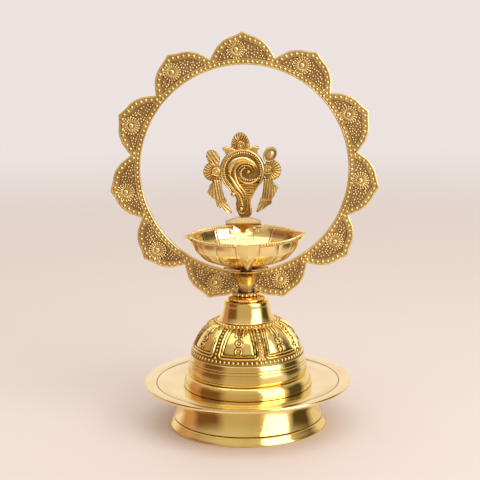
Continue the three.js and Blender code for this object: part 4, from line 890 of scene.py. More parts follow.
def bowl_point(angle, share, offset, panels=1.0):
    """Points of the bowl's wall: angles in degrees from the front spout, and shares down the wall."""
    place = np.clip(share, 0, 1) * (len(bowl_line) - 1)
    section_radius = np.interp(place, np.arange(len(bowl_line)), bowl_line[:, 0])
    section_drop = -np.interp(place, np.arange(len(bowl_line)), bowl_line[:, 1])
    from_spout = np.abs((angle + 45.0) % 90.0 - 45.0)
    spout_edge = SPOUT_HALF_ANGLE * (1 - BEAK_TAPER * share)
    spout = np.clip(1 - from_spout / spout_edge, 0, 1)
    in_front = np.cos(np.radians(angle)) > 0.8
    lip = np.clip(1 - section_drop / SPOUT_DROP, 0, 1)
    swept_out = np.clip(1 - from_spout / SPOUT_SWEEP, 0, 1) ** 2
    reach = SPOUT_REACH * swept_out * lip ** 2
    beak_fade = np.clip(section_drop / SPOUT_DROP, 0, 1) * np.clip((1 - share) * 4, 0, 1)
    beak = BEAK_PROUD * spout * beak_fade * in_front
    slope = np.clip(section_drop / BOWL_DEPTH, 0, 1)
    in_panel = from_spout >= spout_edge
    across = ((from_spout - SPOUT_HALF_ANGLE) % PANEL_WIDTH) / PANEL_WIDTH
    first_edge = SPOUT_HALF_ANGLE + PANEL_WIDTH
    beside_spout = (from_spout - spout_edge) / (first_edge - spout_edge)
    across = np.where(from_spout < first_edge, beside_spout, across)
    flat_inside = -PANEL_CHORD * np.clip(share * 6, 0, 1)
    arched = np.where(offset < 0, flat_inside, PANEL_BULGE)
    bulge = arched * 4 * across * (1 - across) * in_panel * np.clip((1 - share) * 3, 0, 1)
    from_crease = np.minimum(across, 1 - across) * PANEL_WIDTH
    crease = -CREASE_DEPTH * np.exp(-(from_crease / CREASE_HALF_WIDTH) ** 2) * in_panel
    crease = crease * np.clip(share * 8, 0, 1) * np.clip((1 - share) * 4, 0, 1)
    arch = np.clip(1 - ((share - 0.86) / 0.27) ** 2 - ((across - 0.5) / 0.36) ** 2, 0, 1)
    lobe = LOBE_PROUD * np.sqrt(arch) * in_panel * np.clip((1 - share) * 8, 0, 1)
    relief = (bulge + crease + lobe * (offset >= 0)) * panels
    radius = section_radius + reach + beak * (1 - slope * 0.6) + relief
    radius = radius + offset * np.sqrt(np.clip(1 - slope ** 2 * 0.6, 0, 1))
    lip_rise = np.clip((SPOUT_HALF_ANGLE + 0.4 - from_spout) / 1.4, 0, 1)
    lift = SPOUT_LIP_HEIGHT * lip_rise * np.clip(1 - share * 6, 0, 1)
    height = BOWL_RIM - section_drop - beak * slope - offset * slope ** 2 + lift
    turned = np.radians(angle + BOWL_TURN)
    return np.stack([radius * np.sin(turned), -radius * np.cos(turned), height], -1)


def burnished_brass():
    """Pale burnished brass: brightest on the panels, a painted shade line in each crease, faint scratches."""
    material, tree, place = brass_tree("burnished_bowl_brass")
    cloud = node(tree, "ShaderNodeTexNoise", {"Vector": place, "Scale": 65.0, "Detail": 4.0})
    stretched = node(tree, "ShaderNodeVectorMath", {0: place, 1: (1.0, 1.0, 5.0)}, operation="MULTIPLY")
    scratch = node(tree, "ShaderNodeTexNoise", {
        "Vector": stretched.outputs["Vector"], "Scale": 900.0, "Detail": 4.0})
    warm = spread(tree, cloud.outputs["Fac"], 0.40, 0.72, 0.0, 0.8)
    colour = blended(tree, warm, (0.96, 0.76, 0.36), (0.86, 0.60, 0.22))
    depth = node(tree, "ShaderNodeAttribute", attribute_name="polish_and_shade").outputs["Fac"]
    # Painted shade darkens each crease.
    colour = blended(tree, depth, colour, (0.22, 0.12, 0.04))
    roughness = spread(tree, scratch.outputs["Fac"], 0.3, 0.75, 0.10, 0.22)
    brass_surface(tree, colour, roughness, scratch.outputs["Fac"], 0.010 * MM)
    return material


bowl_angles = np.arange(BOWL_COLUMNS) * 360.0 / BOWL_COLUMNS
outer_shares = np.linspace(0.0, 1.0, 45)
inner_shares = np.linspace(1.0, 0.0, 30)
bowl_rows = []
for share in inner_shares:
    bowl_rows.append(bowl_point(bowl_angles, share, -BOWL_WALL))
bowl_rows[0][:, 2] += BOWL_WALL * 0.6
inner_lip = bowl_rows[-1].copy()
outer_lip = bowl_point(bowl_angles, 0.0, 0.0)
bowl_rows.append(inner_lip * 0.75 + outer_lip * 0.25 + (0.0, 0.0, 0.12))
bowl_rows.append(inner_lip * 0.25 + outer_lip * 0.75 + (0.0, 0.0, 0.12))
for share in outer_shares:
    bowl_rows.append(bowl_point(bowl_angles, share, 0.0))
bore = np.stack([1.5 * np.sin(np.radians(bowl_angles)), -1.5 * np.cos(np.radians(bowl_angles)),
                 np.full(BOWL_COLUMNS, BOWL_FLOOR)], -1)
bowl_rows.append(bore)
bowl_rows.append(bore + (0.0, 0.0, BOWL_WALL))
from_spouts = np.abs((bowl_angles + 45.0) % 90.0 - 45.0)
crease_place = ((from_spouts - SPOUT_HALF_ANGLE) % PANEL_WIDTH)
crease_near = np.minimum(crease_place, PANEL_WIDTH - crease_place)
# Painted shade: a dark line along each crease between the panels.
painted_crease_shade = np.exp(-(crease_near / 0.55) ** 2) * (from_spouts > SPOUT_HALF_ANGLE - 1.0)
bowl_crease_shade = np.array([painted_crease_shade * 0.7] * len(bowl_rows))
bowl_crease_shade[:5] = 0.0
bowl_crease_shade[-6:] = 0.0
bowl_brass = burnished_brass()
bowl = mesh_piece("lamp_bowl", np.array(bowl_rows).reshape(-1, 3),
                  wrapped_faces(len(bowl_rows), BOWL_COLUMNS), 32.0, bowl_crease_shade.ravel())
finish_piece(bowl, bowl_brass, "bowl", "bowl_brass", "bowl")


# Twisted wire edge. A cord of two brass wires twisted together, one length to each side.
# It is laid on the rim between two spouts and soldered down.

ROPE_SIZES = {"Twist length": 3.0 * MM, "Strand radius": 0.44 * MM, "Strand place": 0.40 * MM,
              "Steps": 150}
ROPE_END = 12.0
ROPE_HEIGHT = 99.75


def rope_tree(name, material):
    """Two strands that wind round each other along every line."""
    tree, sizes = node_tree(name, ROPE_SIZES)
    curve = node(tree, "GeometryNodeMeshToCurve", {"Mesh": sizes["Geometry"]}).outputs["Curve"]
    even = node(tree, "GeometryNodeResampleCurve", {"Curve": curve, "Count": sizes["Steps"]})
    length = node(tree, "GeometryNodeSplineParameter").outputs["Length"]
    turns = node(tree, "ShaderNodeMath", {0: length, 1: sizes["Twist length"]}, operation="DIVIDE")
    normal = node(tree, "GeometryNodeInputNormal").outputs["Normal"]
    tangent = node(tree, "GeometryNodeInputTangent").outputs["Tangent"]
    side = node(tree, "ShaderNodeVectorMath", {0: tangent, 1: normal}, operation="CROSS_PRODUCT")
    profile = node(tree, "GeometryNodeCurvePrimitiveCircle", {
        "Resolution": 7, "Radius": sizes["Strand radius"]}, mode="RADIUS")
    both = node(tree, "GeometryNodeJoinGeometry")
    for phase in (0.0, math.pi):
        angle = node(tree, "ShaderNodeMath", {
            0: turns.outputs["Value"], 1: 2 * math.pi, 2: phase}, operation="MULTIPLY_ADD")
        shift = []
        for operation, direction in (("COSINE", normal), ("SINE", side.outputs["Vector"])):
            share = node(tree, "ShaderNodeMath", {0: angle.outputs["Value"]}, operation=operation)
            reach = node(tree, "ShaderNodeMath", {
                0: share.outputs["Value"], 1: sizes["Strand place"]}, operation="MULTIPLY")
            shift.append(node(tree, "ShaderNodeVectorMath", {
                0: direction, "Scale": reach.outputs["Value"]}, operation="SCALE").outputs["Vector"])
        total = node(tree, "ShaderNodeVectorMath", {0: shift[0], 1: shift[1]}, operation="ADD")
        strand = node(tree, "GeometryNodeSetPosition", {
            "Geometry": even.outputs["Curve"], "Offset": total.outputs["Vector"]})
        swept = node(tree, "GeometryNodeCurveToMesh", {
            "Curve": strand.outputs["Geometry"], "Profile Curve": profile.outputs["Curve"],
            "Fill Caps": True})
        tree.links.new(swept.outputs["Mesh"], both.inputs["Geometry"])
    end_tree(tree, both.outputs["Geometry"], material)
    return tree


rope_lines = []
for quarter in range(4):
    rope_angles = np.linspace(quarter * 90 + ROPE_END, quarter * 90 + 90 - ROPE_END, 40)
    rope_points = bowl_point(rope_angles, 0.0, -BOWL_WALL / 2)
    rope_points[:, 2] = ROPE_HEIGHT
    rope_lines.append(rope_points)
rope_brass = turned_brass("rope_brass", (0.93, 0.72, 0.32), (0.70, 0.45, 0.14), 0.16, 0.002)
rope = grown_piece("lamp_rim_rope", rope_lines, rope_tree("rim_rope", rope_brass), ROPE_SIZES, False)
finish_piece(rope, None, "bowl", "bowl_brass", "rim_rope_1", "rim_rope_2", "rim_rope_3", "rim_rope_4")


# Finial foot and rivets. The foot is a small cast pyramid with a strap down the bowl's wall.
# Two brass rivets go through the strap and the wall, with their heads inside the bowl.

foot_brass = turned_brass("finial_foot_brass", (0.58, 0.43, 0.19), (0.36, 0.24, 0.10), 0.30, 0.030)
keep_solid("finial_foot", foot_brass)
keep_solid("finial_rivet_left", bowl_brass)
keep_solid("finial_rivet_right", bowl_brass)


# Conch finial. One flat brass casting with raised work on its front, pinned to the finial foot.
# A coiled conch lies in a beaded ring, with a fan crest, side fans, petals and knotted ribbons.
# Its sizes are in millimetres across and above the casting's own foot.

FINIAL_FRONT = 28.75
FINIAL_BACK = 31.95
FINIAL_FLOOR = 104.3
CONCH_CENTRE = (0.0, 24.9)
CONCH_RADIUS = 12.1
TAIL_TOP = 18.6
EDGE_SHARES = [(0.93, 0.06), (0.975, 0.25), (1.0, 0.6)]


def finial_place(across, up, forward):
    """A point of the finial, turned with the bowl: forward is measured from its front face."""
    turned = math.radians(BOWL_TURN)
    across, up, forward = np.broadcast_arrays(across, up, forward)
    deep = FINIAL_FRONT - forward
    return np.stack([across * math.cos(turned) - deep * math.sin(turned),
                     across * math.sin(turned) + deep * math.cos(turned),
                     FINIAL_FLOOR + up], -1)


def outward_part(points, faces, polish_and_shade):
    """A closed part of a piece as points, faces that point outwards, and its recess values."""
    if signed_volume(points, faces) < 0:
        faces = [face[::-1] for face in faces]
    return points, faces, polish_and_shade


def joined_piece(name, parts, crease=45.0):
    points = np.vstack([part[0] for part in parts])
    faces = []
    start = 0
    for part_points, part_faces, _ in parts:
        faces += [tuple(start + corner for corner in face) for face in part_faces]
        start += len(part_points)
    return mesh_piece(name, points, faces, crease, np.concatenate([part[2] for part in parts]))


def even_outline(corners, columns):
    """Evenly spaced points round a closed outline."""
    line = np.vstack([corners, corners[:1]])
    length = np.r_[0, np.cumsum(np.hypot(*np.diff(line, axis=0).T))]
    stations = np.arange(columns) * length[-1] / columns
    return np.stack([np.interp(stations, length, line[:, k]) for k in (0, 1)], -1)


def flat_part(corners, middle, relief, columns=120, rows=22):
    """A flat part with a rounded edge, and a relief on its front given by a function of place."""
    rim = even_outline(np.array(corners, float), columns)
    middle = np.array(middle, float)
    shares = [(t, 0.0) for t in np.linspace(0.0, 0.9, rows)[1:]] + EDGE_SHARES
    grid_points = [np.array([middle])]
    proud = [np.array([relief(middle[None, 0], middle[None, 1])[0]])]
    for share, drop in shares:
        ring = middle + (rim - middle) * share
        fade = 1.0 if drop == 0.0 else max(0.0, 1.0 - drop * 1.6)
        grid_points.append(ring)
        proud.append(relief(ring[:, 0], ring[:, 1]) * fade - drop)
    back = FINIAL_FRONT - FINIAL_BACK
    for share, drop in EDGE_SHARES[::-1]:
        grid_points.append(middle + (rim - middle) * share)
        proud.append(np.full(columns, back + drop * 0.6))
    grid_points.append(np.array([middle]))
    proud.append(np.array([back]))
    flat = np.vstack(grid_points)
    forward = np.concatenate(proud)
    points = finial_place(flat[:, 0], flat[:, 1], forward)
    faces = []
    ring_count = len(grid_points) - 2
    last = len(points) - 1
    for i in range(columns):
        j = (i + 1) % columns
        faces.append((0, 1 + i, 1 + j))
        for ring in range(ring_count - 1):
            low = 1 + ring * columns
            faces.append((low + i, low + columns + i, low + columns + j, low + j))
        top = 1 + (ring_count - 1) * columns
        faces.append((top + i, last, top + j))
    # Old polish and painted shade: the lower the relief lies, the darker it is coloured.
    polish_and_shade = np.clip(0.50 - 1.9 * forward, 0.0, 0.9) * (forward > -0.7)
    return outward_part(points, faces, polish_and_shade)


def band_part(stations, forward=1.2, base=0.0, steps=7, sides=12):
    """A raised, rounded band through [across, up, half width] stations, pointed at its ends."""
    line = np.array(smooth_line(stations, steps))
    path = line[:, :2]
    tangent = np.gradient(path, axis=0)
    tangent /= np.hypot(*tangent.T)[:, None]
    side = np.stack([-tangent[:, 1], tangent[:, 0]], -1)
    widths = np.maximum(line[:, 2], 0.02)
    heights = forward * np.clip(widths / max(widths) * 1.25, 0.12, 1.0)
    points = []
    polish_and_shade = []
    for k in range(sides):
        angle = 2 * math.pi * k / sides
        flat = path + side * (widths * math.cos(angle))[:, None]
        points.append(finial_place(flat[:, 0], flat[:, 1], base + heights * math.sin(angle)))
        # Painted shade: the band is bright on its crown and darker down its sides and back.
        polish_and_shade.append(np.full(len(path), min(1.0, max(0.0, 0.3 - 1.3 * math.sin(angle)))))
    faces = []
    count = len(path)
    for k in range(sides):
        low, high = k * count, (k + 1) % sides * count
        faces += [(low + i, low + i + 1, high + i + 1, high + i) for i in range(count - 1)]
    faces.append(tuple(k * count for k in range(sides)))
    faces.append(tuple(k * count + count - 1 for k in range(sides))[::-1])
    return outward_part(np.vstack(points), faces, np.concatenate(polish_and_shade))


BALL_ROWS = 8
BALL_COLUMNS = 14


def ball_part(across, up, radius, base=0.0, flatness=1.0):
    """A flattened ball, with one corner at its front and one at its back."""
    points = [finial_place(across, up, base + radius * flatness)]
    polish_and_shade = [0.0]
    for row in range(1, BALL_ROWS):
        tilt = math.pi * row / BALL_ROWS
        for k in range(BALL_COLUMNS):
            angle = 2 * math.pi * k / BALL_COLUMNS
            points.append(finial_place(across + radius * math.sin(tilt) * math.cos(angle),
                                       up + radius * math.sin(tilt) * math.sin(angle),
                                       base + radius * flatness * math.cos(tilt)))
            # Painted shade: the ball is bright at its front and darker towards its back.
            polish_and_shade.append(min(1.0, max(0.0, 0.6 - 1.2 * math.cos(tilt))))
    points.append(finial_place(across, up, base - radius * flatness))
    polish_and_shade.append(1.0)
    faces = []
    last = len(points) - 1
    last_row = last - BALL_COLUMNS
    for k in range(BALL_COLUMNS):
        j = (k + 1) % BALL_COLUMNS
        faces.append((0, 1 + k, 1 + j))
        for row in range(BALL_ROWS - 2):
            front = 1 + row * BALL_COLUMNS
            back = front + BALL_COLUMNS
            faces.append((front + k, back + k, back + j, front + j))
        faces.append((last_row + k, last, last_row + j))
    return outward_part(np.array(points), faces, np.array(polish_and_shade))


def oval_outline(centre, half_width, half_length, tilt=0.0, points=60):
    angles = np.arange(points) * 2 * math.pi / points
    across = half_width * np.sin(angles)
    along = half_length * np.cos(angles)
    lean = math.radians(tilt)
    return [(centre[0] + a * math.cos(lean) + b * math.sin(lean),
             centre[1] - a * math.sin(lean) + b * math.cos(lean)) for a, b in zip(across, along)]


def ring_floor(x, z):
    """The conch's disc: two raised rims round a sunk floor, all sunk lower where the tail begins."""
    radius = np.hypot(x - CONCH_CENTRE[0], z - CONCH_CENTRE[1])
    rims = 0.85 * bump_at(radius - 11.45, 0.6) + 0.7 * bump_at(radius - 10.75, 0.32)
    floor = rims - 0.35 * (radius < 10.4) - 0.1 * (radius >= 10.4)
    return np.where(z < TAIL_TOP, -1.1, floor)


def tail_lines(x, z):
    """The conch's tail: level lines across its right side and a plain left side."""
    lines = 0.38 * np.sin(2 * math.pi * z / 0.92)
    right = np.clip((x + 2.6 - (17.0 - z) * 0.35) * 2.0, 0, 1) * np.clip((z - 9.0) * 1.2, 0, 1)
    return np.where(z > TAIL_TOP, -1.1, (lines + 0.4) * right - 0.2)


def fan_flutes(centre, reach, flutes, start=0.0, depth=0.7):
    """Flutes that radiate from a horseshoe at a fan's root."""
    def relief(x, z):
        out = np.hypot(x - centre[0], z - centre[1])
        angle = np.arctan2(x - centre[0], z - centre[1]) + start
        wave = depth * (0.5 + 0.5 * np.cos(angle * flutes))
        return wave * np.clip((out - reach) * 2.2, 0, 1) + 0.25 * bump_at(out - reach * 0.55, 0.9) - 0.1
    return relief


def lengthwise_flutes(centre, tilt, spacing, depth=0.45):
    """Straight flutes along a petal, ribbon or tassel that leans by the given angle."""
    lean = math.radians(tilt)

    def relief(x, z):
        across = (x - centre[0]) * math.cos(lean) - (z - centre[1]) * math.sin(lean)
        return depth * (0.5 + 0.5 * np.cos(2 * math.pi * across / spacing)) - 0.1
    return relief


def spread_flutes(root, flutes, depth=0.42):
    """Flutes that open out from a root point, as a tassel's threads do."""
    def relief(x, z):
        angle = np.arctan2(x - root[0], z - root[1])
        return depth * (0.5 + 0.5 * np.cos(angle * flutes)) - 0.1
    return relief


def ringed(centre, half_width, half_length, tilt):
    """A shallow oval with a raised line inside its edge."""
    lean = math.radians(tilt)

    def relief(x, z):
        across = (x - centre[0]) * math.cos(lean) - (z - centre[1]) * math.sin(lean)
        along = (x - centre[0]) * math.sin(lean) + (z - centre[1]) * math.cos(lean)
        share = np.hypot(across / half_width, along / half_length)
        return 0.4 * bump_at(share - 0.88, 0.12) + 0.45 * bump_at(share, 0.55) - 0.05
    return relief


def level_face(rise):
    """A plain face, raised evenly."""
    def relief(x, z):
        return np.full(np.shape(x), rise)
    return relief


CREST_MIDDLE = (-0.9, 38.8)
LEFT_PETAL = (-15.5, 32.3)
RIGHT_PETAL = (14.8, 33.2)
PETAL_HALF_WIDTH = 3.4
PETAL_HALF_LENGTH = 4.4
PETAL_LEAN = 34.0
LEFT_RIBBON = (-12.8, 14.6)
RIGHT_RIBBON = (12.9, 14.6)
LEAF_RISE = 0.2
KNOT_RISE = 0.6
crest_outline = [(-5.6, 36.6), (-5.9, 38.9), (-5.3, 41.5), (-4.0, 43.8), (-2.4, 45.1), (-0.9, 45.5),
                 (0.8, 45.1), (2.4, 43.8), (3.6, 41.5), (4.2, 38.9), (3.9, 36.6), (-0.9, 34.6)]
tail_outline = [(-11.4, 20.9), (-8.9, 17.2), (-6.4, 14.3), (-4.6, 12.3), (-3.7, 10.4), (-3.4, 8.7),
                (-3.9, 7.4), (-3.5, 5.6), (-3.7, 4.2), (-2.9, 2.6), (-2.2, 0.8), (-1.4, 0.0), (3.4, 0.0),
                (4.5, 1.2), (4.9, 3.0), (4.6, 5.5), (4.2, 8.4), (4.7, 10.4), (6.0, 13.3), (8.2, 16.8),
                (10.9, 20.8), (0.0, 20.6)]
left_leaf_outline = [(-3.0, 35.6), (-5.2, 37.4), (-8.4, 38.0), (-10.3, 37.5), (-10.5, 36.3), (-9.3, 35.5),
                     (-9.0, 34.2), (-7.4, 33.6)]
right_leaf_outline = [(2.2, 35.8), (4.3, 37.4), (7.0, 38.2), (8.9, 37.8), (9.2, 36.5), (8.2, 35.6),
                      (8.2, 34.2), (6.6, 33.6)]
left_ribbon = [(-15.5, 20.8), (-11.4, 20.8), (-10.9, 15.0), (-9.3, 9.6), (-13.9, 9.4), (-14.9, 15.0)]
left_flap = [(-15.8, 19.6), (-14.2, 19.6), (-12.9, 9.4), (-14.4, 9.2), (-16.9, 11.1), (-19.1, 13.8),
             (-17.8, 16.1), (-18.1, 16.6)]
left_tassel = [(-14.4, 8.9), (-9.0, 8.9), (-8.6, 7.6), (-6.1, 3.4), (-5.9, 2.5), (-6.9, 1.9), (-9.4, 3.4),
               (-14.1, 6.1)]
left_knot = [(-14.9, 9.9), (-8.7, 9.9), (-8.5, 8.6), (-14.6, 8.4)]
right_ribbon = [(11.4, 20.8), (15.6, 20.8), (15.0, 15.0), (14.6, 9.4), (9.9, 9.4), (11.0, 15.0)]
right_flap = [(14.2, 19.6), (15.6, 20.0), (17.6, 16.9), (19.2, 15.4), (18.0, 13.0), (15.7, 9.2), (13.6, 9.4)]
right_tassel = [(9.2, 8.9), (15.6, 8.9), (15.4, 7.0), (10.6, 3.8), (8.0, 2.1), (7.1, 2.6), (7.3, 3.4)]
right_knot = [(9.0, 9.9), (15.7, 9.9), (15.8, 8.5), (9.2, 8.4)]

finial_parts = [
    flat_part(oval_outline(CONCH_CENTRE, CONCH_RADIUS, CONCH_RADIUS, points=144), CONCH_CENTRE,
              ring_floor, 160, 60),
    flat_part(tail_outline, (0.4, 14.0), tail_lines, 220, 60),
    flat_part(crest_outline, CREST_MIDDLE, fan_flutes(CREST_MIDDLE, 2.3, 24), 216, 26),
    flat_part(oval_outline((-15.9, 24.7), 5.0, 5.0), (-14.6, 24.8),
              fan_flutes((-14.0, 24.9), 2.2, 24), 216, 26),
    flat_part(oval_outline((15.9, 24.9), 4.9, 5.3), (14.4, 25.2), fan_flutes((13.6, 25.4), 2.2, 24), 216, 26),
    flat_part(oval_outline(LEFT_PETAL, PETAL_HALF_WIDTH, PETAL_HALF_LENGTH, -PETAL_LEAN), LEFT_PETAL,
              lengthwise_flutes(LEFT_PETAL, -PETAL_LEAN, 1.6, 0.7), 100, 26),
    flat_part(oval_outline(RIGHT_PETAL, PETAL_HALF_WIDTH, PETAL_HALF_LENGTH, PETAL_LEAN), RIGHT_PETAL,
              ringed(RIGHT_PETAL, PETAL_HALF_WIDTH, PETAL_HALF_LENGTH, PETAL_LEAN), 100, 26),
    flat_part(left_leaf_outline, (-7.4, 36.2), level_face(LEAF_RISE), 90, 10),
    flat_part(right_leaf_outline, (6.2, 36.4), level_face(LEAF_RISE), 90, 10),
    flat_part(left_ribbon, LEFT_RIBBON, lengthwise_flutes(LEFT_RIBBON, -9.0, 1.25), 150, 26),
    flat_part(right_ribbon, RIGHT_RIBBON, lengthwise_flutes(RIGHT_RIBBON, 7.0, 1.25), 150, 26),
    flat_part(left_flap, (-15.3, 14.2), spread_flutes((-15.6, 24.0), 44), 130, 24),
    flat_part(right_flap, (15.6, 14.6), spread_flutes((15.6, 24.0), 44), 130, 24),
    flat_part(left_tassel, (-10.6, 6.0), spread_flutes((-15.0, 12.0), 40), 130, 24),
    flat_part(right_tassel, (11.6, 6.2), spread_flutes((15.6, 12.4), 40), 130, 24),
    flat_part(left_knot, (-11.7, 9.2), level_face(KNOT_RISE), 80, 8),
    flat_part(right_knot, (12.4, 9.2), level_face(KNOT_RISE), 80, 8),
]
conch_plates = joined_piece("conch_finial_plates", finial_parts)
# Its dark tint is the old polish and painted shade in the conch's recesses and down the sides of its raised
# work.
relief_brass = cast_brass("conch_relief_brass", gloss=0.17, dark=(0.26, 0.145, 0.05))
finish_piece(conch_plates, relief_brass, "bowl", "antique_brass", "conch_finial")

BIG_WHORL = [(-6.1, 22.7, 0.2), (-6.6, 24.9, 1.4), (-6.0, 27.8, 1.9), (-3.9, 30.1, 1.9), (-0.4, 31.3, 1.7),
             (3.1, 30.8, 1.5), (5.8, 29.2, 1.2), (7.3, 27.3, 0.8), (8.0, 25.4, 0.15)]
MIDDLE_WHORL = [(6.2, 22.4, 0.2), (6.7, 25.6, 0.45), (5.4, 28.1, 0.6), (2.3, 29.5, 0.7), (-1.2, 29.0, 0.8),
                (-3.4, 27.1, 0.9), (-4.2, 24.2, 0.85), (-3.5, 20.8, 0.8), (-2.1, 17.7, 0.75),
                (0.4, 14.6, 0.7), (1.8, 11.9, 0.65), (2.4, 7.8, 0.6), (2.2, 4.6, 0.55), (0.9, 2.6, 0.5),
                (-0.8, 2.1, 0.45), (-2.1, 3.1, 0.35), (-2.5, 4.9, 0.15)]
INNER_WHORL = [(-1.8, 22.9, 0.2), (-2.2, 25.2, 0.4), (-1.0, 27.1, 0.5), (1.2, 28.0, 0.6), (3.7, 27.4, 0.55),
               (5.1, 25.7, 0.5), (5.1, 23.6, 0.4), (3.9, 22.3, 0.35), (2.1, 22.4, 0.2)]
SMALL_CURL = [(1.5, 23.2, 0.15), (1.1, 24.8, 0.3), (2.0, 26.1, 0.35), (3.6, 26.2, 0.2)]
LOWER_WHORL = [(9.2, 22.6, 0.15), (7.4, 19.9, 0.45), (4.2, 18.4, 0.6), (1.0, 18.6, 0.55), (-1.3, 20.2, 0.4),
               (-2.2, 22.3, 0.15)]
LEFT_LEAF = [(-7.6, 23.3, 0.15), (-6.3, 21.7, 0.8), (-4.9, 19.5, 1.0), (-3.5, 17.0, 0.95),
             (-1.8, 14.7, 0.75), (-0.2, 12.4, 0.5), (0.8, 9.6, 0.15)]
LEFT_EDGE = [(-11.3, 22.6, 0.3), (-10.4, 20.1, 0.5), (-8.7, 17.5, 0.5), (-6.7, 15.0, 0.45), (-5.5, 13.2, 0.3)]
RIGHT_EDGE = [(11.1, 21.9, 0.3), (9.6, 19.0, 0.5), (7.4, 15.6, 0.5), (5.4, 12.2, 0.5), (4.0, 9.2, 0.5),
              (3.9, 6.0, 0.55), (4.1, 3.2, 0.5), (3.4, 1.1, 0.3)]
LEFT_STRAND_EDGE = [(-8.9, 19.6, 0.15), (-6.8, 16.6, 0.3), (-4.5, 13.8, 0.35), (-2.9, 11.6, 0.35),
                    (-2.2, 8.6, 0.35), (-2.4, 5.6, 0.2)]
CREST_HORSESHOE = [(-2.6, 36.6, 0.3), (-2.5, 38.6, 0.35), (-2.0, 40.0, 0.4), (-0.9, 40.7, 0.4),
                   (0.2, 40.0, 0.4), (0.7, 38.6, 0.35), (0.8, 36.6, 0.3)]
LEFT_HORSESHOE = [(-12.6, 27.0, 0.3), (-14.4, 26.9, 0.4), (-15.9, 25.9, 0.4), (-16.3, 24.7, 0.4),
                  (-15.8, 23.6, 0.4), (-14.3, 22.8, 0.4), (-12.6, 22.8, 0.3)]
RIGHT_HORSESHOE = [(-x - 0.3, z + 0.4, width) for x, z, width in LEFT_HORSESHOE]
LEFT_SCROLL = [(-3.4, 36.0, 0.4), (-5.9, 36.9, 0.75), (-8.4, 37.2, 0.7), (-9.9, 36.6, 0.5), (-9.6, 35.6, 0.3)]
RIGHT_SCROLL = [(2.0, 36.2, 0.4), (4.6, 37.1, 0.75), (6.9, 37.5, 0.7), (8.5, 36.9, 0.5), (8.3, 35.8, 0.3)]
conch_bands = [
    band_part(BIG_WHORL, 2.3, -0.35, 9), band_part(MIDDLE_WHORL, 1.6, -0.1, 7),
    band_part(INNER_WHORL, 1.5, -0.2), band_part(SMALL_CURL, 1.0, -0.1),
    band_part(LOWER_WHORL, 1.3, -0.1), band_part(LEFT_LEAF, 1.5, -0.1), band_part(LEFT_EDGE, 1.0),
    band_part(RIGHT_EDGE, 1.0), band_part(LEFT_STRAND_EDGE, 0.9), band_part(CREST_HORSESHOE, 1.0),
    band_part(LEFT_HORSESHOE, 1.0), band_part(RIGHT_HORSESHOE, 1.0),
    band_part(LEFT_SCROLL, 1.1, -0.4), band_part(RIGHT_SCROLL, 1.1, -0.4),
    ball_part(3.1, 24.4, 1.25, 0.1), ball_part(-5.2, 12.5, 1.4, -0.4), ball_part(-0.9, 4.5, 1.15, 0.2),
    ball_part(-0.9, 38.4, 0.8, 0.1, 0.8), ball_part(-14.1, 24.8, 0.8, 0.1, 0.8),
    ball_part(13.8, 25.2, 0.8, 0.1, 0.8),
]
conch_relief = joined_piece("conch_finial_relief", conch_bands, 60.0)
finish_piece(conch_relief, relief_brass, "bowl", "antique_brass")

CONCH_BEADS = {**BEAD_SIZES, "Beads in a row": 38, "Bead radius": 0.52 * MM, "Bead length": 0.95,
               "Bead width": 1.3, "Bead height": 1.1, "Spread": 0.0, "Facing": (0.0, -1.0, 0.0)}
# Painted shade: the conch's beads darken towards their back against the disc.
conch_bead_tree = bead_tree("conch_beads", cast_brass("conch_bead_brass", (28.7, 29.1), BOWL_TURN, 0.12))
ring_angles = np.radians(np.linspace(-112.0, 106.0, 90))
ring_beads_line = finial_place(9.85 * np.sin(ring_angles), 24.9 + 9.85 * np.cos(ring_angles), 0.15)
conch_ring = grown_piece("conch_ring_beads", [ring_beads_line], conch_bead_tree, CONCH_BEADS, False)
finish_piece(conch_ring, None, "bowl", "antique_brass")
BEAD_STRANDS = [
    ([(-8.9, 20.4), (-7.4, 18.6), (-5.6, 16.2), (-3.6, 13.9), (-2.1, 12.2), (-1.2, 10.2), (-0.6, 8.2),
      (-0.3, 6.4)], 19),
    ([(8.9, 20.8), (6.6, 20.3), (3.9, 19.9), (1.2, 20.4), (-0.5, 21.7), (-1.0, 23.6), (-0.4, 25.4),
      (1.0, 26.6)], 18),
]
for number, (strand, count) in enumerate(BEAD_STRANDS):
    strand_line = np.array(smooth_line(strand, 6))
    strand_places = finial_place(strand_line[:, 0], strand_line[:, 1], 0.25)
    beads = grown_piece(f"conch_strand_{number + 1}", [strand_places], conch_bead_tree,
                        {**CONCH_BEADS, "Beads in a row": count}, False)
    finish_piece(beads, None, "bowl", "antique_brass")


# Floor, light and camera. A plain pale table and backdrop with soft studio lamps.
# The camera stands where the photograph was taken from, a little above the lamp's middle.

CAMERA_TURN = 0.6
CAMERA_DISTANCE = 620.0
CAMERA_HEIGHT = 216.0
CAMERA_SIDEWAYS = -2.82
CAMERA_PITCH = 10.84
CAMERA_ROLL = 0.96
CAMERA_LENS = 91.95
SENSOR_WIDTH = 36.0

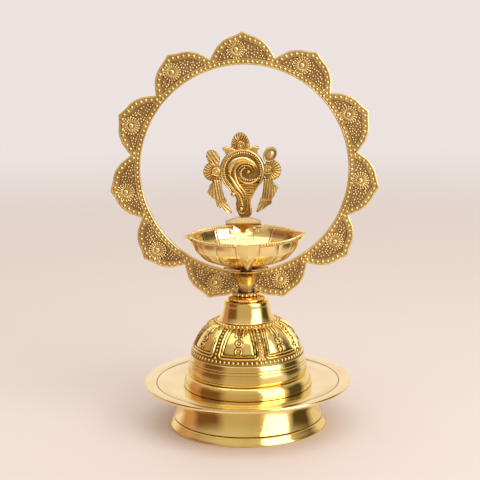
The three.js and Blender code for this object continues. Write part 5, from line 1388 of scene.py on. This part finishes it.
turn = math.radians(CAMERA_TURN)
forward = Vector((-math.sin(turn), math.cos(turn), 0.0))
rightward = Vector((math.cos(turn), math.sin(turn), 0.0))
camera_data = bpy.data.cameras.new("photo_camera")
camera_data.lens = CAMERA_LENS
camera_data.sensor_width = SENSOR_WIDTH
camera = bpy.data.objects.new("photo_camera", camera_data)
bpy.context.scene.collection.objects.link(camera)
camera.location = (-forward * CAMERA_DISTANCE + rightward * CAMERA_SIDEWAYS
                   + Vector((0.0, 0.0, CAMERA_HEIGHT))) * MM
looking = Matrix.Rotation(turn, 4, "Z") @ Matrix.Rotation(math.radians(90.0 - CAMERA_PITCH), 4, "X")
camera.rotation_euler = (looking @ Matrix.Rotation(math.radians(-CAMERA_ROLL), 4, "Z")).to_euler()
camera_data.clip_start = 0.05
camera_data.clip_end = 50.0
bpy.context.scene.camera = camera

FLOOR_SIZE = 6000.0
FLOOR_COLOUR = (0.80, 0.70, 0.66)
PALE_TONE = (0.84, 0.77, 0.75)
BACK_TONE = (0.98, 0.90, 0.86)
WARM_TONE = (0.60, 0.49, 0.34)
CEILING_TONE = (0.70, 0.65, 0.58)
SALMON_TONE = (0.62, 0.34, 0.24)
WINDOW_TONE = (0.95, 0.90, 0.80)
LEFT_DARK = (0.22, 0.10, 0.045)
RIGHT_DARK = (0.10, 0.075, 0.035)
STUDIO_TONES = [(-180.0, BACK_TONE), (-134.0, BACK_TONE), (-120.0, SALMON_TONE), (-100.0, SALMON_TONE),
                (-88.0, LEFT_DARK), (-54.0, LEFT_DARK), (-38.0, WARM_TONE), (18.0, WARM_TONE),
                (27.0, WINDOW_TONE), (70.0, WINDOW_TONE), (80.0, RIGHT_DARK), (108.0, RIGHT_DARK),
                (124.0, BACK_TONE), (180.0, BACK_TONE)]


def studio_tone(tree, direction):
    """The room's colour by angle round the lamp: pale behind it, dim corners, warm on the viewer's side."""
    parts = node(tree, "ShaderNodeSeparateXYZ", {"Vector": direction})
    front = node(tree, "ShaderNodeMath", {0: parts.outputs["Y"], 1: -1.0}, operation="MULTIPLY")
    around = node(tree, "ShaderNodeMath", {0: parts.outputs["X"], 1: front.outputs["Value"]},
                  operation="ARCTAN2")
    turns = node(tree, "ShaderNodeMath", {0: around.outputs["Value"], 1: 0.5 / math.pi, 2: 0.5},
                 operation="MULTIPLY_ADD")
    tones = node(tree, "ShaderNodeValToRGB", {"Fac": turns.outputs["Value"]})
    stops = tones.color_ramp.elements
    while len(stops) < len(STUDIO_TONES):
        stops.new(0.5)
    for stop, (angle, tone) in zip(stops, STUDIO_TONES):
        stop.position = angle / 360.0 + 0.5
        stop.color = (*tone, 1.0)
    return tones.outputs["Color"]


floor_mesh = bpy.data.meshes.new("table_top")
half_floor = FLOOR_SIZE * MM / 2
floor_mesh.from_pydata([(-half_floor, -half_floor, 0), (half_floor, -half_floor, 0),
                        (half_floor, half_floor, 0), (-half_floor, half_floor, 0)], [], [(0, 1, 2, 3)])
floor = bpy.data.objects.new("table_top", floor_mesh)
bpy.context.scene.collection.objects.link(floor)
floor_material, floor_tree, floor_place = brass_tree("pale_table")
floor_radius = node(floor_tree, "ShaderNodeVectorMath", {0: floor_place}, operation="LENGTH")
floor_distance = floor_radius.outputs["Value"]
seen_far = node(floor_tree, "ShaderNodeMapRange", {
    "Value": floor_distance, "From Min": 0.35, "From Max": 1.3}, interpolation_type="SMOOTHSTEP")
mirrored_far = node(floor_tree, "ShaderNodeMapRange", {
    "Value": floor_distance, "From Min": 0.10, "From Max": 0.24}, interpolation_type="SMOOTHSTEP")
near_shader = node(floor_tree, "ShaderNodeBsdfPrincipled", {
    "Base Color": (*FLOOR_COLOUR, 1.0), "Roughness": 0.55})
floor_seen = node(floor_tree, "ShaderNodeLightPath").outputs["Is Camera Ray"]
far_away = node(floor_tree, "ShaderNodeMix", {
    0: floor_seen, 2: mirrored_far.outputs["Result"], 3: seen_far.outputs["Result"]}, data_type="FLOAT")
far_tone = blended(floor_tree, floor_seen, studio_tone(floor_tree, floor_place), PALE_TONE)
far_shader = node(floor_tree, "ShaderNodeEmission", {"Color": far_tone})
floor_mix = node(floor_tree, "ShaderNodeMixShader", {
    0: far_away.outputs["Result"], 1: near_shader.outputs["BSDF"], 2: far_shader.outputs["Emission"]})
node(floor_tree, "ShaderNodeOutputMaterial", {"Surface": floor_mix.outputs["Shader"]})
floor_mesh.materials.append(floor_material)

world = bpy.data.worlds.new("studio")
bpy.context.scene.world = world
world.use_nodes = True
world_tree = world.node_tree
world_tree.nodes.clear()
sky_direction = node(world_tree, "ShaderNodeTexCoord").outputs["Generated"]
sky_parts = node(world_tree, "ShaderNodeSeparateXYZ", {"Vector": sky_direction})
upward = node(world_tree, "ShaderNodeMapRange", {
    "Value": sky_parts.outputs["Z"], "From Min": 0.25, "From Max": 0.75}, interpolation_type="SMOOTHSTEP")
room = blended(world_tree, upward.outputs["Result"], studio_tone(world_tree, sky_direction), CEILING_TONE)
seen = node(world_tree, "ShaderNodeLightPath").outputs["Is Camera Ray"]
backdrop = node(world_tree, "ShaderNodeBackground", {
    "Color": blended(world_tree, seen, room, PALE_TONE), "Strength": 1.0})
node(world_tree, "ShaderNodeOutputWorld", {"Surface": backdrop.outputs["Background"]})

STUDIO_LAMPS = [
    ("overhead_box", (-40.0, -180.0, 950.0), 1200.0, 900.0, 3.6),
    ("right_window", (960.0, -896.0, 608.0), 1024.0, 1312.0, 11.8),
]
for lamp_name, lamp_place, lamp_width, lamp_height, lamp_power in STUDIO_LAMPS:
    lamp_data = bpy.data.lights.new(lamp_name, "AREA")
    lamp_data.shape = "RECTANGLE"
    lamp_data.size = lamp_width * MM
    lamp_data.size_y = lamp_height * MM
    lamp_data.energy = lamp_power
    studio_lamp = bpy.data.objects.new(lamp_name, lamp_data)
    bpy.context.scene.collection.objects.link(studio_lamp)
    studio_lamp.location = Vector(lamp_place) * MM
    aim = Vector((0.0, 0.0, 90.0)) * MM - studio_lamp.location
    studio_lamp.rotation_euler = aim.to_track_quat("-Z", "Y").to_euler()

bpy.context.scene.view_settings.view_transform = "Standard"
